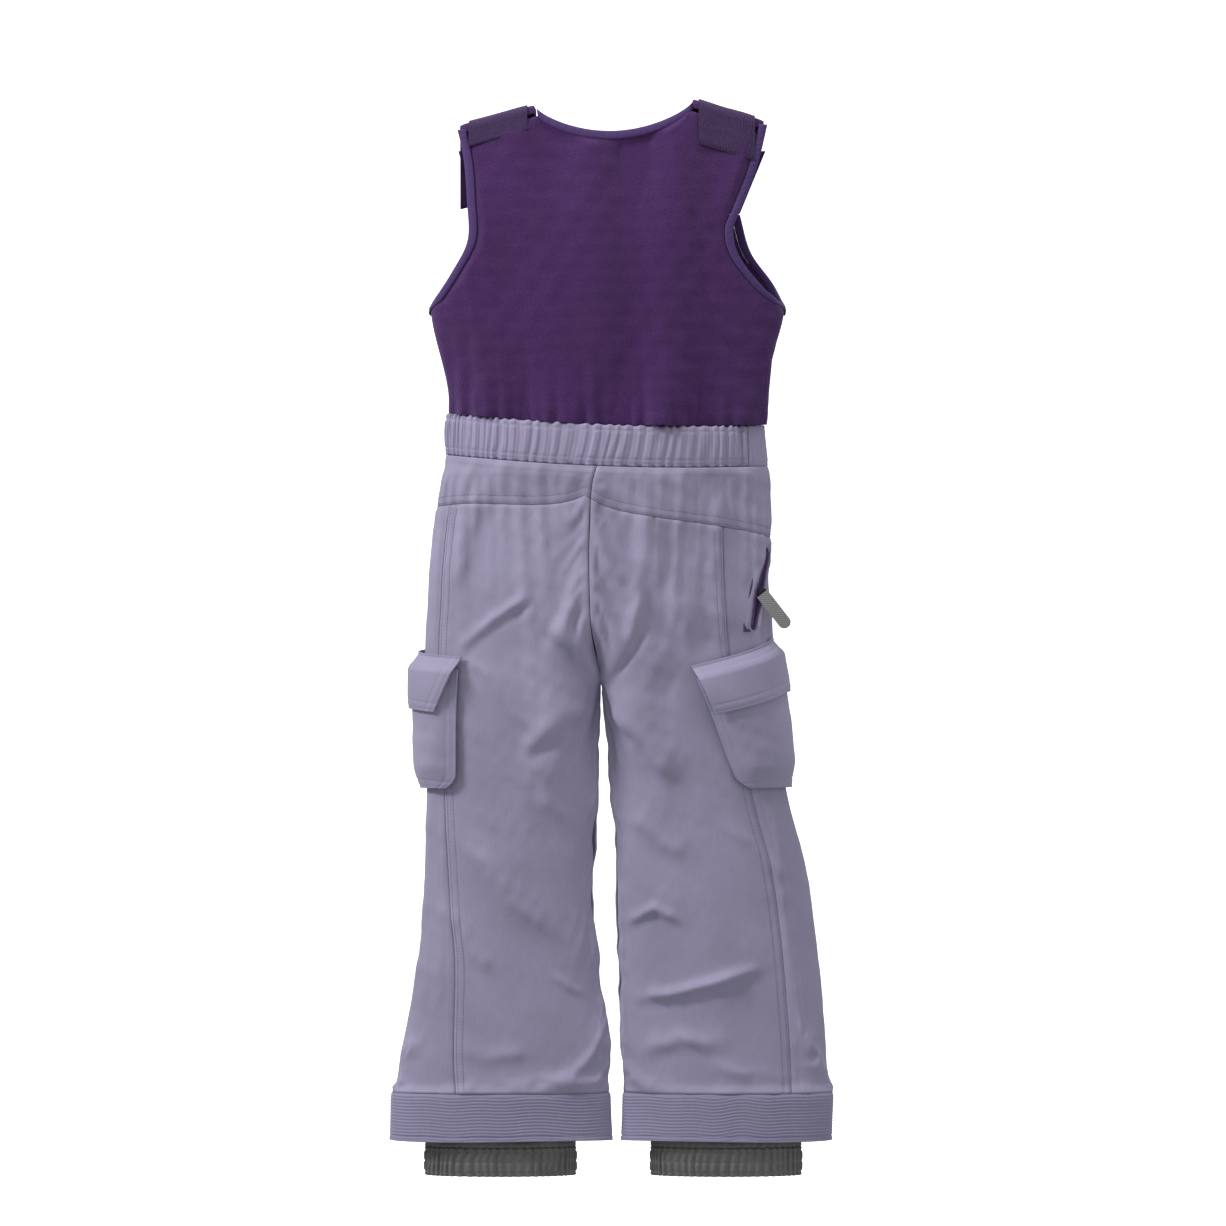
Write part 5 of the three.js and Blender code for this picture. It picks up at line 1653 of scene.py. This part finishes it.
def hang_relief(side, q, height):
    """The settled cloth's distance out of the hung shape, read back off the simulated grid."""
    if side.name not in HANG:
        return 0.0
    across_q, up, offset = HANG[side.name]
    a = np.clip((q - across_q[0]) / (across_q[-1] - across_q[0]), 0, 1) * (len(across_q) - 1)
    b = np.clip((height - up[0]) / (up[-1] - up[0]), 0, 1) * (len(up) - 1)
    i = np.minimum(a.astype(int), len(across_q) - 2)
    j = np.minimum(b.astype(int), len(up) - 2)
    u = a - i
    v = b - j
    low = mix(offset[j, i], offset[j, i + 1], u)
    high = mix(offset[j + 1, i], offset[j + 1, i + 1], u)
    return mix(low, high, v)


# ---------------------------------------------------------------- making everything

for one in SIDES:
    simulate_leg(one)
for one in SIDES:
    make_shell(one)
    make_lining(one)
    make_cuff(one)
    make_gaiter(one)
    make_waistband_front(one)
    make_front_bodice(one)
    make_armhole_binding(one)
    make_shoulder(one)
    make_hand_zip(one)
    make_pouch(one)
    make_flap(one)
    refit_puller(f"hand_zip_puller_{one.name}", f"hand_puller_{one.name}")
make_waistband_back()
make_back_bodice()
make_neck_binding()
make_front_zip()
refit_puller("front_zip_puller", "front_puller")
make_stitches()
for node_name in ("hand_zip_slider_left", "hand_zip_slider_right", "front_zip_slider"):
    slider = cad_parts[node_name]
    for k in range(len(slider.material_slots)):
        slider.material_slots[k].material = ZIP_METAL
    edge = slider.modifiers.new("soft_edges", "BEVEL")
    edge.width = 0.0004
    edge.segments = 3

# ---------------------------------------------------------------- floor, light and camera

FLOOR = -(HANG_HEIGHT + 70) * MM


def make_stage():
    """A round pale bowl: flat under the garment, curving up into a wall on every side."""
    flat, bend, wall, steps, around = 4.6, 2.0, 5.5, 16, 128
    profile = [(0.02, 0.0), (2.0, 0.0), (flat, 0.0)]
    for k in range(1, steps + 1):
        angle = math.pi / 2 * k / steps
        profile.append((flat + bend * math.sin(angle), bend - bend * math.cos(angle)))
    profile.append((flat + bend, wall))
    vertices = []
    for reach, rise in profile:
        for k in range(around):
            angle = 2 * math.pi * k / around
            vertices.append((reach * math.cos(angle), reach * math.sin(angle), FLOOR + rise))
    faces = []
    for ring_start in range(0, (len(profile) - 1) * around, around):
        for k in range(around):
            corners = (k, (k + 1) % around, around + (k + 1) % around, around + k)
            faces.append(tuple(ring_start + corner for corner in corners))
    faces.append(tuple(range(around - 1, -1, -1)))
    mesh = bpy.data.meshes.new("studio_bowl")
    mesh.from_pydata(vertices, [], faces)
    mesh.polygons.foreach_set("use_smooth", [True] * len(mesh.polygons))
    bowl = bpy.data.objects.new("studio_bowl", mesh)
    bpy.context.scene.collection.objects.link(bowl)
    n = Nodes("studio_paper")
    paper = n.blend(n.noise(3, 2), (0.86, 0.86, 0.86, 1), (0.88, 0.88, 0.88, 1))
    n.link(paper, n.shader.inputs["Base Color"])
    n.shader.inputs["Emission Color"].default_value = (1, 1, 1, 1)
    n.shader.inputs["Emission Strength"].default_value = 0.92
    mesh.materials.append(n.finish(0.9))
    # White paper all round would wash the folds out, so only the camera sees it.
    bowl.visible_diffuse = False
    bowl.visible_glossy = False
    bowl.visible_transmission = False
    bowl.visible_shadow = False


def area_light(name, place, target, size, energy):
    data = bpy.data.lights.new(name, "AREA")
    data.shape = "RECTANGLE"
    data.size, data.size_y = size
    data.energy = energy
    light = bpy.data.objects.new(name, data)
    bpy.context.scene.collection.objects.link(light)
    light.location = place
    light.visible_camera = False
    aim(light, target)


def aim(thing, target):
    direction = Vector(target) - Vector(thing.location)
    thing.rotation_euler = direction.to_track_quat("-Z", "Y").to_euler()


def make_lights():
    world = bpy.data.worlds.new("soft_studio")
    world.use_nodes = True
    world.node_tree.nodes["Background"].inputs["Color"].default_value = (1, 1, 1, 1)
    world.node_tree.nodes["Background"].inputs["Strength"].default_value = 0.52
    bpy.context.scene.world = world
    middle = (0, 0, -0.45)
    area_light("key_light", (-2.5, -1.1, 1.5), middle, (0.8, 0.8), 96)
    area_light("fill_light", (2.4, -1.4, -0.2), middle, (1.2, 2.0), 10)
    area_light("top_light", (0.2, -0.5, 2.0), middle, (1.8, 0.8), 22)


# The photograph is 1.103 m wide where the garment hangs, 4 m from the camera.
CAMERA_DISTANCE = 4.0
PHOTO_WIDTH = 1.103


def make_camera():
    data = bpy.data.cameras.new("camera")
    data.sensor_width = 36
    data.lens = data.sensor_width * CAMERA_DISTANCE / PHOTO_WIDTH
    camera = bpy.data.objects.new("camera", data)
    bpy.context.scene.collection.objects.link(camera)
    camera.location = (0.0045, -CAMERA_DISTANCE - 0.03, (510 - HANG_HEIGHT) * MM)
    camera.rotation_euler = (math.pi / 2, 0, 0)
    bpy.context.scene.camera = camera


make_stage()
make_lights()
make_camera()
bpy.context.scene.view_settings.view_transform = "Standard"
